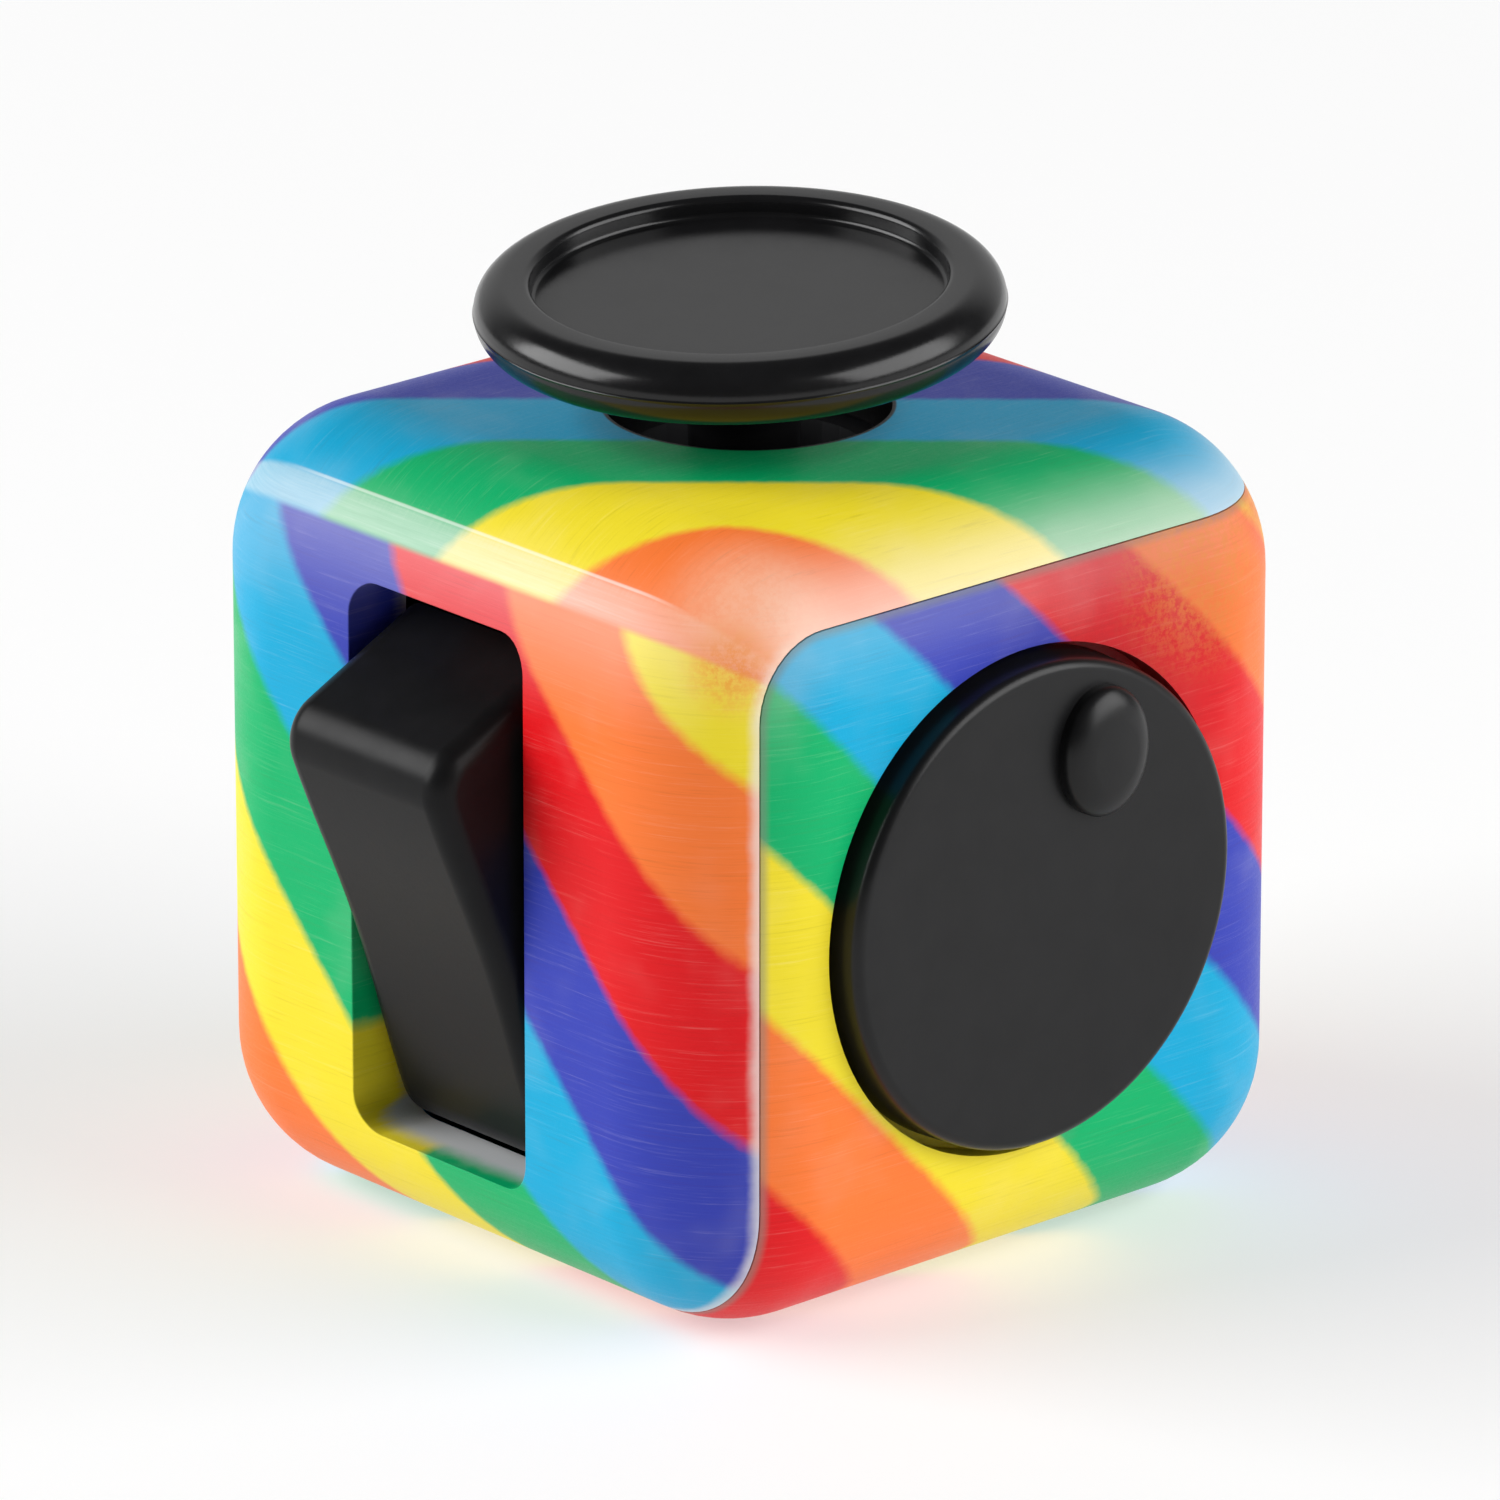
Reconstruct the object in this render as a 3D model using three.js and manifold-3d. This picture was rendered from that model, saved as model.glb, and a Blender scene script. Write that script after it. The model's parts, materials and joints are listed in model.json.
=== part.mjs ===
// A fidget cube: two printed plastic shells, a tilting thumb stick on top, a rocker switch in front,
// a turning dial on the right, five push buttons on the left, three rollers and a ball at the back,
// and a thumb hollow underneath. Millimetres, +Z up; the rocker's face looks along -Y, the dial's along +X.
import * as THREE from "three";
import { RoundedBoxGeometry } from "three/addons/geometries/RoundedBoxGeometry.js";
import { mergeVertices } from "three/addons/utils/BufferGeometryUtils.js";
import Module from "manifold-3d";

const wasm = await Module();
wasm.setup();

// ---- Sizes ----
// Cube
const cubeEdge = 33;
const edgeRadius = 6.4;
const wallThickness = 1.8;
const lipThickness = 1.1;
const lipStep = 0.3;
// The seam lies a step further in than the lip behind it, or the lip would close over the cavity.
const seamInset = wallThickness + lipThickness + lipStep;
const seamGap = 0.12;
const lipReach = 1.5;
const fitGap = 0.15;
const loosePin = 0.06;
const seatGap = 0.2;

// Screws that hold each plate to its shell
const screwShankRadius = 0.7;
const screwHeadRadius = 1.3;
const screwHeadHeight = 0.65;
const screwBoreRadius = 0.8;

// Thumb stick
const stickCapRadius = 10.61;
const stickRimRadius = 1.29;
const stickCapTop = 5.76;
const stickRecessRadius = 8.3;
const stickRecessDepth = 0.85;
const stickStemRadius = 2.25;
const stickHoleRadius = 5.75;
const stickPivotDepth = 6.3;
const stickBallRadius = 2.4;
const stickHousingDepth = 12.8;
const stickTiltLimit = 10;
const stickLeanAboutX = 3.9;
const stickLeanAboutY = 1.77;

// Rocker switch
const rockerLength = 19.5;
const rockerWidth = 9.7;
const rockerPivotDepth = 5.8;
const rockerFaceHeight = 6.8;
const rockerRounding = 1.4;
const rockerEndDraft = 8.8;
const rockerTilt = 20.1;
const rockerHubRadius = 2;
const rockerPinRadius = 0.8;
const slotSideGap = 0.4;
const slotEndGap = 1.9;
const slotCornerRadius = 1.5;

// Dial
const dialRadius = 10.15;
const dialProud = 1.15;
const dialPocketDepth = 1.25;
const dialPocketGap = 0.35;
const dialEdgeRounding = 0.45;
const dialHubRadius = 3;
const nubHalfWidth = 2.1;
const nubHalfHeight = 2.55;
const nubHeight = 1.1;
const nubAcross = 2.75;
const nubUp = 5.95;
const ratchetRadius = 4.6;
const ratchetTeeth = 18;

// Buttons
const buttonRadius = 2.6;
const buttonSpacing = 5.3;
const buttonProud = 1;
const buttonTravel = 0.9;
const buttonHoleGap = 0.25;
const buttonFlangeExtra = 0.7;

// Rollers and ball
const rollerRadius = 3.7;
const rollerWidth = 3.4;
const rollerPitch = 3.8;
const rollerProud = 0.8;
const rollerTeeth = 16;
const rollerAcross = -5;
const axleRadius = 0.8;
const ballRadius = 3.5;
const ballProud = 1.6;
const ballAcross = 5.2;

// Thumb hollow underneath
const hollowRadius = 8.2;
const hollowDepth = 2;

// ---- Mates worked out from the sizes ----
const half = cubeEdge / 2;
const inside = half - wallThickness;
const seam = half - seamInset;

// ---- Materials ----
const paint = (color, roughness, metalness) =>
  new THREE.MeshStandardMaterial({ color, roughness, metalness });
const shellPlastic = ["#e9ddc8", 0.45, 0];
const blackPlastic = ["#1c1c1e", 0.4, 0];
const innerPlastic = ["#33353a", 0.6, 0];
const steel = ["#a9adb2", 0.3, 1];
const springSteel = ["#83878d", 0.35, 1];
const silicone = ["#6f7478", 0.8, 0];

// ---- Shape helpers ----
function solid(geometry) {
  const bare = new THREE.BufferGeometry();
  bare.setAttribute("position", geometry.getAttribute("position"));
  if (geometry.index) bare.setIndex(geometry.index);
  const merged = mergeVertices(bare, 1e-4);
  return new wasm.Manifold(
    new wasm.Mesh({
      numProp: 3,
      vertProperties: merged.attributes.position.array,
      triVerts: new Uint32Array(merged.index.array),
    }),
  );
}

function geometryOf(manifold) {
  const mesh = manifold.getMesh();
  const geometry = new THREE.BufferGeometry();
  geometry.setAttribute("position", new THREE.BufferAttribute(mesh.vertProperties, 3));
  geometry.setIndex(new THREE.BufferAttribute(mesh.triVerts, 1));
  geometry.computeVertexNormals();
  return geometry;
}

const join = (...solids) => solids.reduce((a, b) => a.add(b));
const cut = (body, ...tools) => tools.reduce((a, b) => a.subtract(b), body);

const block = (low, high) =>
  solid(
    new THREE.BoxGeometry(high[0] - low[0], high[1] - low[1], high[2] - low[2]).translate(
      (low[0] + high[0]) / 2,
      (low[1] + high[1]) / 2,
      (low[2] + high[2]) / 2,
    ),
  );

const roundedBlock = (low, high, radius, segments = 4) =>
  solid(
    new RoundedBoxGeometry(
      high[0] - low[0],
      high[1] - low[1],
      high[2] - low[2],
      segments,
      radius,
    ).translate((low[0] + high[0]) / 2, (low[1] + high[1]) / 2, (low[2] + high[2]) / 2),
  );

// A round bar along Z between two heights.
const bar = (radius, from, to, x = 0, y = 0, segments = 24) =>
  solid(
    new THREE.CylinderGeometry(radius, radius, to - from, segments)
      .rotateX(Math.PI / 2)
      .translate(x, y, (from + to) / 2),
  );

// A round bar along X or Y, centred on the given point.
const barAlongX = (radius, length, x, y, z, segments = 16) =>
  solid(
    new THREE.CylinderGeometry(radius, radius, length, segments).rotateZ(Math.PI / 2).translate(x, y, z),
  );
const barAlongY = (radius, length, x, y, z, segments = 16) =>
  solid(new THREE.CylinderGeometry(radius, radius, length, segments).translate(x, y, z));

// A turned shape about Z from [radius, height] pairs, listed from low to high round the outside.
const turned = (profile, segments = 32) =>
  solid(
    new THREE.LatheGeometry(
      profile.map(([r, z]) => new THREE.Vector2(r, z)),
      segments,
    ).rotateX(Math.PI / 2),
  );

const ball = (radius, x, y, z, across = 16, down = 10) =>
  solid(new THREE.SphereGeometry(radius, across, down).translate(x, y, z));

// Points of an arc in a profile, in degrees.
function arc(centreR, centreZ, radius, from, to, steps) {
  const points = [];
  for (let i = 0; i <= steps; i++) {
    const angle = ((from + ((to - from) * i) / steps) * Math.PI) / 180;
    points.push([centreR + radius * Math.cos(angle), centreZ + radius * Math.sin(angle)]);
  }
  return points;
}

// A flat outline drawn in XY and raised along Z.
function raised(points, from, to) {
  const shape = new THREE.Shape(points.map(([x, y]) => new THREE.Vector2(x, y)));
  return solid(
    new THREE.ExtrudeGeometry(shape, { depth: to - from, bevelEnabled: false, steps: 1 }).translate(0, 0, from),
  );
}

function roundedOutline(halfX, halfY, radius, steps = 5) {
  const corners = [
    [halfX - radius, halfY - radius, 0],
    [-halfX + radius, halfY - radius, 90],
    [-halfX + radius, -halfY + radius, 180],
    [halfX - radius, -halfY + radius, 270],
  ];
  return corners.flatMap(([x, y, start]) => arc(x, y, radius, start, start + 90, steps));
}

function toothedOutline(radius, depth, teeth) {
  const points = [];
  for (let i = 0; i < teeth; i++) {
    for (const [share, r] of [[0, radius], [0.4, radius], [0.55, radius - depth], [0.85, radius - depth]]) {
      const angle = ((i + share) / teeth) * 2 * Math.PI;
      points.push([r * Math.cos(angle), r * Math.sin(angle)]);
    }
  }
  return points;
}

// A coil spring about Z with both ends closed.
function coil(radius, wire, from, to, turns) {
  const points = [];
  const steps = turns * 9;
  for (let i = 0; i <= steps; i++) {
    const angle = (i / 9) * 2 * Math.PI;
    const height = from + wire + ((to - from - 2 * wire) * i) / steps;
    points.push(new THREE.Vector3(radius * Math.cos(angle), radius * Math.sin(angle), height));
  }
  const section = new THREE.Shape();
  section.absarc(0, 0, wire, 0, 2 * Math.PI, false);
  return solid(
    new THREE.ExtrudeGeometry(section, {
      extrudePath: new THREE.CatmullRomCurve3(points),
      steps,
      curveSegments: 4,
      bevelEnabled: false,
    }),
  );
}

const screw = (headLow, tip, x, y) =>
  join(
    bar(screwHeadRadius, headLow, headLow + screwHeadHeight, x, y, 12),
    bar(screwShankRadius, headLow + screwHeadHeight - 0.1, tip, x, y, 8),
  );

// ---- Faces: every mechanism is drawn with +Z out of its face and +Y up the face, then laid on its side ----
function faceMatrix(x, y, z) {
  return new THREE.Matrix4().makeBasis(
    new THREE.Vector3(...x),
    new THREE.Vector3(...y),
    new THREE.Vector3(...z),
  );
}
const faces = {
  top: faceMatrix([1, 0, 0], [0, 1, 0], [0, 0, 1]),
  front: faceMatrix([1, 0, 0], [0, 0, 1], [0, -1, 0]),
  right: faceMatrix([0, 1, 0], [0, 0, 1], [1, 0, 0]),
  left: faceMatrix([0, -1, 0], [0, 0, 1], [-1, 0, 0]),
  back: faceMatrix([-1, 0, 0], [0, 0, 1], [0, 1, 0]),
  bottom: faceMatrix([-1, 0, 0], [0, 1, 0], [0, 0, -1]),
};
const onFace = (body, face) => body.transform(faces[face].elements);

const part = new THREE.Group();
part.name = "fidget_cube";
function addPiece(name, body, look, face = "top") {
  const mesh = new THREE.Mesh(geometryOf(onFace(body, face)), paint(...look));
  mesh.name = name;
  part.add(mesh);
}

// ---- Thumb stick (top) ----
const pivotZ = half - stickPivotDepth;
const stickRimZ = half + stickCapTop - stickRimRadius;
const capFloor = half + stickCapTop - stickRecessDepth;
const capUnderside = half + 2.1;
const spigotRadius = 1.5;
const spigotTop = capUnderside + 1.9;

const capBody = turned([
  [0, capUnderside],
  [3.2, capUnderside],
  [stickCapRadius - 2.6, stickRimZ - stickRimRadius + 0.15],
  ...arc(stickCapRadius - stickRimRadius, stickRimZ, stickRimRadius, -70, 106, 9),
  [stickRecessRadius + 0.12, capFloor + 0.12],
  [stickRecessRadius, capFloor],
  [0, capFloor],
], 48);
const cap = cut(capBody, bar(spigotRadius + loosePin, capUnderside - 1, spigotTop + fitGap));

const lean = (body) => {
  const toPivot = body.translate(0, 0, -pivotZ);
  return toPivot.rotate(0, stickLeanAboutY, 0).rotate(stickLeanAboutX, 0, 0).translate(0, 0, pivotZ);
};
const leanRing = (body) => body.translate(0, 0, -pivotZ).rotate(stickLeanAboutX, 0, 0).translate(0, 0, pivotZ);

const ringHalfHeight = 1.1;
const ringInnerRadius = stickBallRadius + 0.5;
const ringOuterRadius = ringInnerRadius + 1.5;
const crossPinRadius = 0.5;
const trunnionRadius = 0.6;
const housingBore = ringOuterRadius + 0.5;
const housingRadius = housingBore + 0.9;

const stem = join(
  bar(stickStemRadius, pivotZ, capUnderside - 0.1),
  bar(spigotRadius, capUnderside - 0.2, spigotTop),
  ball(stickBallRadius, 0, 0, pivotZ),
  barAlongY(crossPinRadius, 2 * ringOuterRadius - 0.4, 0, 0, pivotZ),
);
addPiece("joystick_cap", lean(cap), blackPlastic);
addPiece("joystick_stem", lean(stem), blackPlastic);

const ring = cut(
  join(
    turned([
      [ringInnerRadius, pivotZ - ringHalfHeight],
      [ringOuterRadius, pivotZ - ringHalfHeight],
      [ringOuterRadius, pivotZ + ringHalfHeight],
      [ringInnerRadius, pivotZ + ringHalfHeight],
      [ringInnerRadius, pivotZ - ringHalfHeight],
    ], 32),
    barAlongX(trunnionRadius, housingRadius - ringInnerRadius - 0.3, -(housingRadius + ringInnerRadius) / 2, 0, pivotZ),
    barAlongX(trunnionRadius, housingRadius - ringInnerRadius - 0.3, (housingRadius + ringInnerRadius) / 2, 0, pivotZ),
  ),
  barAlongY(crossPinRadius + loosePin, 2 * ringOuterRadius + 1, 0, 0, pivotZ),
);
addPiece("joystick_gimbal_ring", leanRing(ring), innerPlastic);

const housingLow = half - stickHousingDepth;
const flangeLow = inside - 1.4;
const flangeHigh = inside - seatGap;
const flangeRadius = 8.4;
const stickScrewAcross = 7.2;
const housing = cut(
  turned([
    [housingBore, housingLow],
    [housingRadius, housingLow],
    [housingRadius, flangeLow],
    [flangeRadius, flangeLow],
    [flangeRadius, flangeHigh],
    [housingBore, flangeHigh],
    [housingBore, housingLow],
  ]),
  barAlongX(trunnionRadius + loosePin, 2 * housingRadius + 1, 0, 0, pivotZ),
  bar(screwBoreRadius, flangeLow - 1, flangeHigh + 1, stickScrewAcross, 0, 12),
  bar(screwBoreRadius, flangeLow - 1, flangeHigh + 1, -stickScrewAcross, 0, 12),
);
addPiece("joystick_housing", housing, innerPlastic);
addPiece("joystick_base_cap", bar(housingBore - fitGap, housingLow, housingLow + 0.8), innerPlastic);
addPiece(
  "joystick_spring",
  coil(1.5, 0.22, housingLow + 0.9, pivotZ - stickBallRadius - 0.15, 4),
  springSteel,
);
for (const side of [-1, 1]) {
  const name = side < 0 ? "joystick_screw_a" : "joystick_screw_b";
  addPiece(
    name,
    screw(flangeLow - 0.05 - screwHeadHeight, half - 0.6, side * stickScrewAcross, 0),
    steel,
  );
}

// ---- Rocker switch (front) ----
const rockerPivotZ = half - rockerPivotDepth;
const halfRocker = rockerLength / 2;
const rockerShoulder = 5.2;
const flare = Math.tan((rockerEndDraft * Math.PI) / 180) * rockerShoulder;
// Side outline of the rocker about its pivot, listed as [up, out].
function rockerOutline() {
  const r = rockerRounding;
  const out = rockerFaceHeight;
  const low = rockerFaceHeight - rockerShoulder;
  return [
    ...arc(halfRocker - r, out - r, r, 10, 90, 6),
    ...arc(-halfRocker + r, out - r, r, 90, 170, 6),
    [-halfRocker - flare + 1.6, low + 0.2],
    [-halfRocker + 0.6, low],
    [-rockerHubRadius, -0.6],
    [-1.2, -rockerHubRadius],
    [1.2, -rockerHubRadius],
    [rockerHubRadius, -0.6],
    [halfRocker - 0.6, low],
    [halfRocker + flare - 1.6, low + 0.2],
  ];
}
function rockerBody() {
  // The outline's up and out become Y and Z, and the thickness runs along X.
  const side = raised(rockerOutline(), -rockerWidth / 2, rockerWidth / 2).transform(
    faceMatrix([0, 1, 0], [0, 0, 1], [1, 0, 0]).elements,
  );
  const reach = halfRocker + 2;
  const softened = roundedBlock(
    [-rockerWidth / 2, -reach, -rockerHubRadius - 2],
    [rockerWidth / 2, reach, rockerFaceHeight],
    0.7,
    3,
  );
  return side.intersect(softened);
}
const rocker = cut(
  rockerBody(),
  barAlongX(rockerPinRadius + loosePin, rockerWidth + 2, 0, 0, 0),
);
addPiece(
  "rocker_switch",
  rocker.rotate(rockerTilt, 0, 0).translate(0, 0, rockerPivotZ),
  blackPlastic,
  "front",
);

const slotHalfWidth = rockerWidth / 2 + slotSideGap;
const slotHalfHeight = halfRocker + slotEndGap;
const tunnelWall = 0.9;
const tunnelLow = half - 4.2;
const earInner = slotHalfWidth + tunnelWall + 0.3;
const earOuter = earInner + 1.3;
const earHalfHeight = 2.6;
const cradleBack = rockerPivotZ - rockerHubRadius - 2.3;
const cradleScrewAcross = earOuter + 1.3;
addPiece(
  "rocker_pin",
  barAlongX(rockerPinRadius, 2 * earOuter, 0, 0, rockerPivotZ),
  steel,
  "front",
);
const cradle = cut(
  join(
    block([-earOuter, -earHalfHeight, cradleBack], [earOuter, earHalfHeight, cradleBack + 0.8]),
    ...[-1, 1].flatMap((side) => {
      const spans = [
        [[earInner, -earHalfHeight, cradleBack], [earOuter, earHalfHeight, inside - seatGap]],
        [[earInner, -earHalfHeight, inside - 1.2], [earOuter + 2.5, earHalfHeight, inside - seatGap]],
      ];
      return spans.map(([low, high]) =>
        side > 0 ? block(low, high) : block([-high[0], low[1], low[2]], [-low[0], high[1], high[2]]),
      );
    }),
  ),
  barAlongX(rockerPinRadius + loosePin, 2 * earOuter + 1, 0, 0, rockerPivotZ),
  bar(screwBoreRadius, inside - 2, inside + 1, cradleScrewAcross, 0, 12),
  bar(screwBoreRadius, inside - 2, inside + 1, -cradleScrewAcross, 0, 12),
);
addPiece("rocker_cradle", cradle, innerPlastic, "front");
// The click spring is a bowed strip that bears on the flat of the rocker's hub.
const bow = [];
for (let i = 0; i <= 8; i++) {
  const across = -4.5 + (9 * i) / 8;
  bow.push([across, cradleBack + 1.05 + 0.55 * Math.cos((across / 4.5) * (Math.PI / 2))]);
}
const bowOutline = [...bow, ...bow.map(([x, z]) => [x, z - 0.25]).reverse()];
const leafWidth = 4;
const leaf = raised(bowOutline, -leafWidth / 2, leafWidth / 2).transform(
  faceMatrix([1, 0, 0], [0, 0, 1], [0, -1, 0]).elements,
);
addPiece("rocker_leaf_spring", leaf, springSteel, "front");
for (const side of [-1, 1]) {
  const name = side < 0 ? "rocker_screw_a" : "rocker_screw_b";
  addPiece(
    name,
    screw(inside - 1.25 - screwHeadHeight, half - 0.6, side * cradleScrewAcross, 0),
    steel,
    "front",
  );
}

// ---- Dial (right) ----
const pocketFloor = half - dialPocketDepth;
const dialLow = pocketFloor + fitGap;
const dialTop = half + dialProud;
const padLow = inside - 1.1;
const padRadius = 9.8;
const hubStep = dialHubRadius - 0.6;
const hubLow = padLow - 1.5;
const dialDisc = turned([
  [0, hubLow],
  [hubStep, hubLow],
  [hubStep, padLow - 0.1],
  [dialHubRadius, padLow - 0.1],
  [dialHubRadius, dialLow],
  [dialRadius, dialLow],
  ...arc(dialRadius - 0.1 - dialEdgeRounding, dialTop - dialEdgeRounding, dialEdgeRounding, 0, 90, 3),
  [0, dialTop],
], 48);
const nub = solid(
  new THREE.LatheGeometry(
    [
      [0, -0.5],
      [1, -0.5],
      [1, 0.25],
      [0.94, 0.6],
      [0.82, 0.84],
      [0.62, 0.96],
      [0.3, 1],
      [0, 1],
    ].map(([r, z]) => new THREE.Vector2(r, z * nubHeight)),
    20,
  )
    .rotateX(Math.PI / 2)
    .scale(nubHalfWidth, nubHalfHeight, 1)
    .translate(nubAcross, nubUp, dialTop),
);
const dialScrewShank = 0.9;
const dial = cut(join(dialDisc, nub), bar(dialScrewShank + loosePin, hubLow - 1, padLow + 1.6));
addPiece("dial_knob", dial, blackPlastic, "right");
const ratchet = cut(
  raised(toothedOutline(ratchetRadius, 0.45, ratchetTeeth), hubLow + 0.15, padLow - 0.25),
  bar(hubStep + loosePin, hubLow - 1, padLow + 1),
);
addPiece("dial_ratchet", ratchet, innerPlastic, "right");
const washerHigh = hubLow - 0.05;
const washerLow = washerHigh - 0.5;
addPiece(
  "dial_washer",
  cut(bar(3.4, washerLow, washerHigh), bar(dialScrewShank + loosePin, washerLow - 1, washerHigh + 1)),
  steel,
  "right",
);
addPiece(
  "dial_screw",
  join(
    bar(1.8, washerLow - 0.9, washerLow - 0.05),
    bar(dialScrewShank, washerLow - 0.2, padLow + 1.4, 0, 0, 12),
  ),
  steel,
  "right",
);
// The click spring is a strip with an eye at its foot and a nose that rides over the ratchet's teeth.
const eyeAcross = -7.6;
const eyeUp = -4.6;
const stripLow = hubLow + 0.2;
const stripHigh = padLow - 0.25;
const strip = cut(
  join(
    raised(
      [
        [eyeAcross + 0.9, eyeUp],
        [eyeAcross + 1.3, eyeUp],
        [-ratchetRadius - 0.7, -0.9],
        [-ratchetRadius - 0.2, 0],
        [-ratchetRadius - 0.7, 0.9],
        [-ratchetRadius - 0.9, 2.4],
        [-ratchetRadius - 1.2, 2.4],
        [-ratchetRadius - 1, 0.9],
        [-ratchetRadius - 0.6, 0],
        [-ratchetRadius - 1, -0.9],
      ],
      stripLow,
      stripHigh,
    ),
    bar(1.3, stripLow, stripHigh, eyeAcross, eyeUp, 20),
  ),
  bar(screwBoreRadius, stripLow - 1, stripHigh + 1, eyeAcross, eyeUp, 12),
);
addPiece("dial_click_spring", strip, springSteel, "right");
addPiece(
  "dial_click_screw",
  screw(stripLow - 0.05 - screwHeadHeight, padLow + 1.2, eyeAcross, eyeUp),
  steel,
  "right",
);

// ---- Buttons (left) ----
const flangeTop = inside - fitGap;
const flangeBottom = flangeTop - 0.65;
const buttonFlangeRadius = buttonRadius + buttonFlangeExtra;
const buttonPlaces = [
  ["button_centre", 0, 0],
  ["button_upper_front", 1, 1],
  ["button_lower_front", 1, -1],
  ["button_upper_back", -1, 1],
  ["button_lower_back", -1, -1],
];
for (const [name, across, up] of buttonPlaces) {
  const buttonTop = half + buttonProud;
  const body = turned([
    [0, flangeBottom],
    [buttonFlangeRadius, flangeBottom],
    [buttonFlangeRadius, flangeTop],
    [buttonRadius, flangeTop],
    ...arc(buttonRadius - 0.7, buttonTop - 0.7, 0.7, 0, 90, 3),
    [0, buttonTop + 0.05],
  ], 20);
  addPiece(name, body.translate(across * buttonSpacing, up * buttonSpacing, 0), blackPlastic, "left");
}
const padTop = flangeBottom - buttonTravel - 0.05;
const padSheetTop = padTop - 0.6;
const padSheetLow = padSheetTop - 0.5;
const plateHalf = 9.2;
const buttonScrewAcross = 8;
const buttonPostRadius = 1.4;
const postHoles = (from, to, radius) =>
  [-1, 1].map((side) => bar(radius, from, to, side * buttonScrewAcross, 0, 20));
const pad = cut(
  join(
    raised(roundedOutline(plateHalf, plateHalf, 1.5), padSheetLow, padSheetTop),
    ...buttonPlaces.map(([, across, up]) =>
      turned([
        [0, padSheetTop - 0.2],
        [2.2, padSheetTop - 0.2],
        [1.6, padTop],
        [0, padTop],
      ], 20).translate(across * buttonSpacing, up * buttonSpacing, 0),
    ),
  ),
  ...postHoles(padSheetLow - 1, padTop + 1, buttonPostRadius + fitGap),
);
addPiece("button_silicone_pad", pad, silicone, "left");
const backingTop = padSheetLow - 0.05;
const backingLow = backingTop - 0.8;
const backing = cut(
  raised(roundedOutline(plateHalf, plateHalf, 1.5), backingLow, backingTop),
  ...postHoles(backingLow - 1, backingTop + 1, screwBoreRadius),
);
addPiece("button_backing_plate", backing, innerPlastic, "left");
for (const side of [-1, 1]) {
  const name = side < 0 ? "button_screw_a" : "button_screw_b";
  addPiece(
    name,
    screw(backingLow - 0.05 - screwHeadHeight, inside + 0.6, side * buttonScrewAcross, 0),
    steel,
    "left",
  );
}

// ---- Rollers and ball (back) ----
const axleZ = half + rollerProud - rollerRadius;
const rollerNames = ["roller_lower", "roller_middle", "roller_upper"];
rollerNames.forEach((name, index) => {
  const outline = toothedOutline(rollerRadius, 0.35, rollerTeeth);
  const wheel = cut(
    raised(outline, -rollerWidth / 2, rollerWidth / 2),
    bar(axleRadius + loosePin, -rollerWidth, rollerWidth, 0, 0, 20),
  ).rotate(-90, 0, 0);
  addPiece(name, wheel.translate(rollerAcross, (index - 1) * rollerPitch, axleZ), steel, "back");
});
const rollerSpan = rollerPitch + rollerWidth / 2 + 0.6;
const cradleEnd = rollerSpan + 1;
addPiece(
  "roller_axle",
  barAlongY(axleRadius, 2 * cradleEnd, rollerAcross, 0, axleZ),
  steel,
  "back",
);
const plateTop = half - 9.1;
const plateLow = plateTop - 0.8;
const bedLow = plateTop + 0.05;
const bedHalfWidth = 3.6;
const bed = cut(
  join(
    block(
      [rollerAcross - bedHalfWidth, -cradleEnd, bedLow],
      [rollerAcross + bedHalfWidth, cradleEnd, axleZ - rollerRadius - 0.5],
    ),
    ...[-1, 1].map((side) => {
      const near = Math.min(side * rollerSpan, side * cradleEnd);
      return block(
        [rollerAcross - 2.2, near, bedLow],
        [rollerAcross + 2.2, near + 1, inside - seatGap],
      );
    }),
  ),
  barAlongY(axleRadius + loosePin, 2 * cradleEnd + 1, rollerAcross, 0, axleZ),
);
addPiece("roller_cradle", bed, innerPlastic, "back");

const ballZ = half + ballProud - ballRadius;
const cupRadius = ballRadius + 0.9;
const cupLow = ballZ - ballRadius - 1;
addPiece("roll_ball", ball(ballRadius, ballAcross, 0, ballZ, 20, 14), steel, "back");
const cup = cut(
  bar(cupRadius, cupLow, ballZ - 1.6, ballAcross, 0),
  ball(ballRadius + fitGap, ballAcross, 0, ballZ, 20, 14),
);
addPiece("ball_cup", cup, innerPlastic, "back");
addPiece(
  "ball_spring",
  coil(2, 0.22, plateTop + 0.05, cupLow - 0.05, 3).translate(ballAcross, 0, 0),
  springSteel,
  "back",
);
const rollScrewUp = 8.9;
const rollPostRadius = 1.4;
const rollPlate = cut(
  raised(roundedOutline(9.4, 10.2, 1.5), plateLow, plateTop),
  bar(screwBoreRadius, plateLow - 1, plateTop + 1, 0, rollScrewUp, 12),
  bar(screwBoreRadius, plateLow - 1, plateTop + 1, 0, -rollScrewUp, 12),
);
addPiece("roll_backing_plate", rollPlate, innerPlastic, "back");
for (const side of [-1, 1]) {
  const name = side < 0 ? "roll_screw_a" : "roll_screw_b";
  addPiece(
    name,
    screw(plateLow - 0.05 - screwHeadHeight, plateTop + 5, 0, side * rollScrewUp),
    steel,
    "back",
  );
}

// ---- Shells ----
const cube = (size, radius, segments) =>
  roundedBlock([-size, -size, -size], [size, size, size], radius, segments);
const cavityAt = (size) => cube(size, edgeRadius - (half - size), 2);
// The region of the right, back and bottom shell, grown or shrunk about the seam.
const farSide = 60;
const lowerRegion = (grow) =>
  roundedBlock(
    [-seam - grow, -seam - grow, -farSide],
    [farSide, farSide, seam + grow],
    seamInset + grow,
    3,
  );

const walls = cut(cube(half, edgeRadius, 4), cavityAt(inside));

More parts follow.
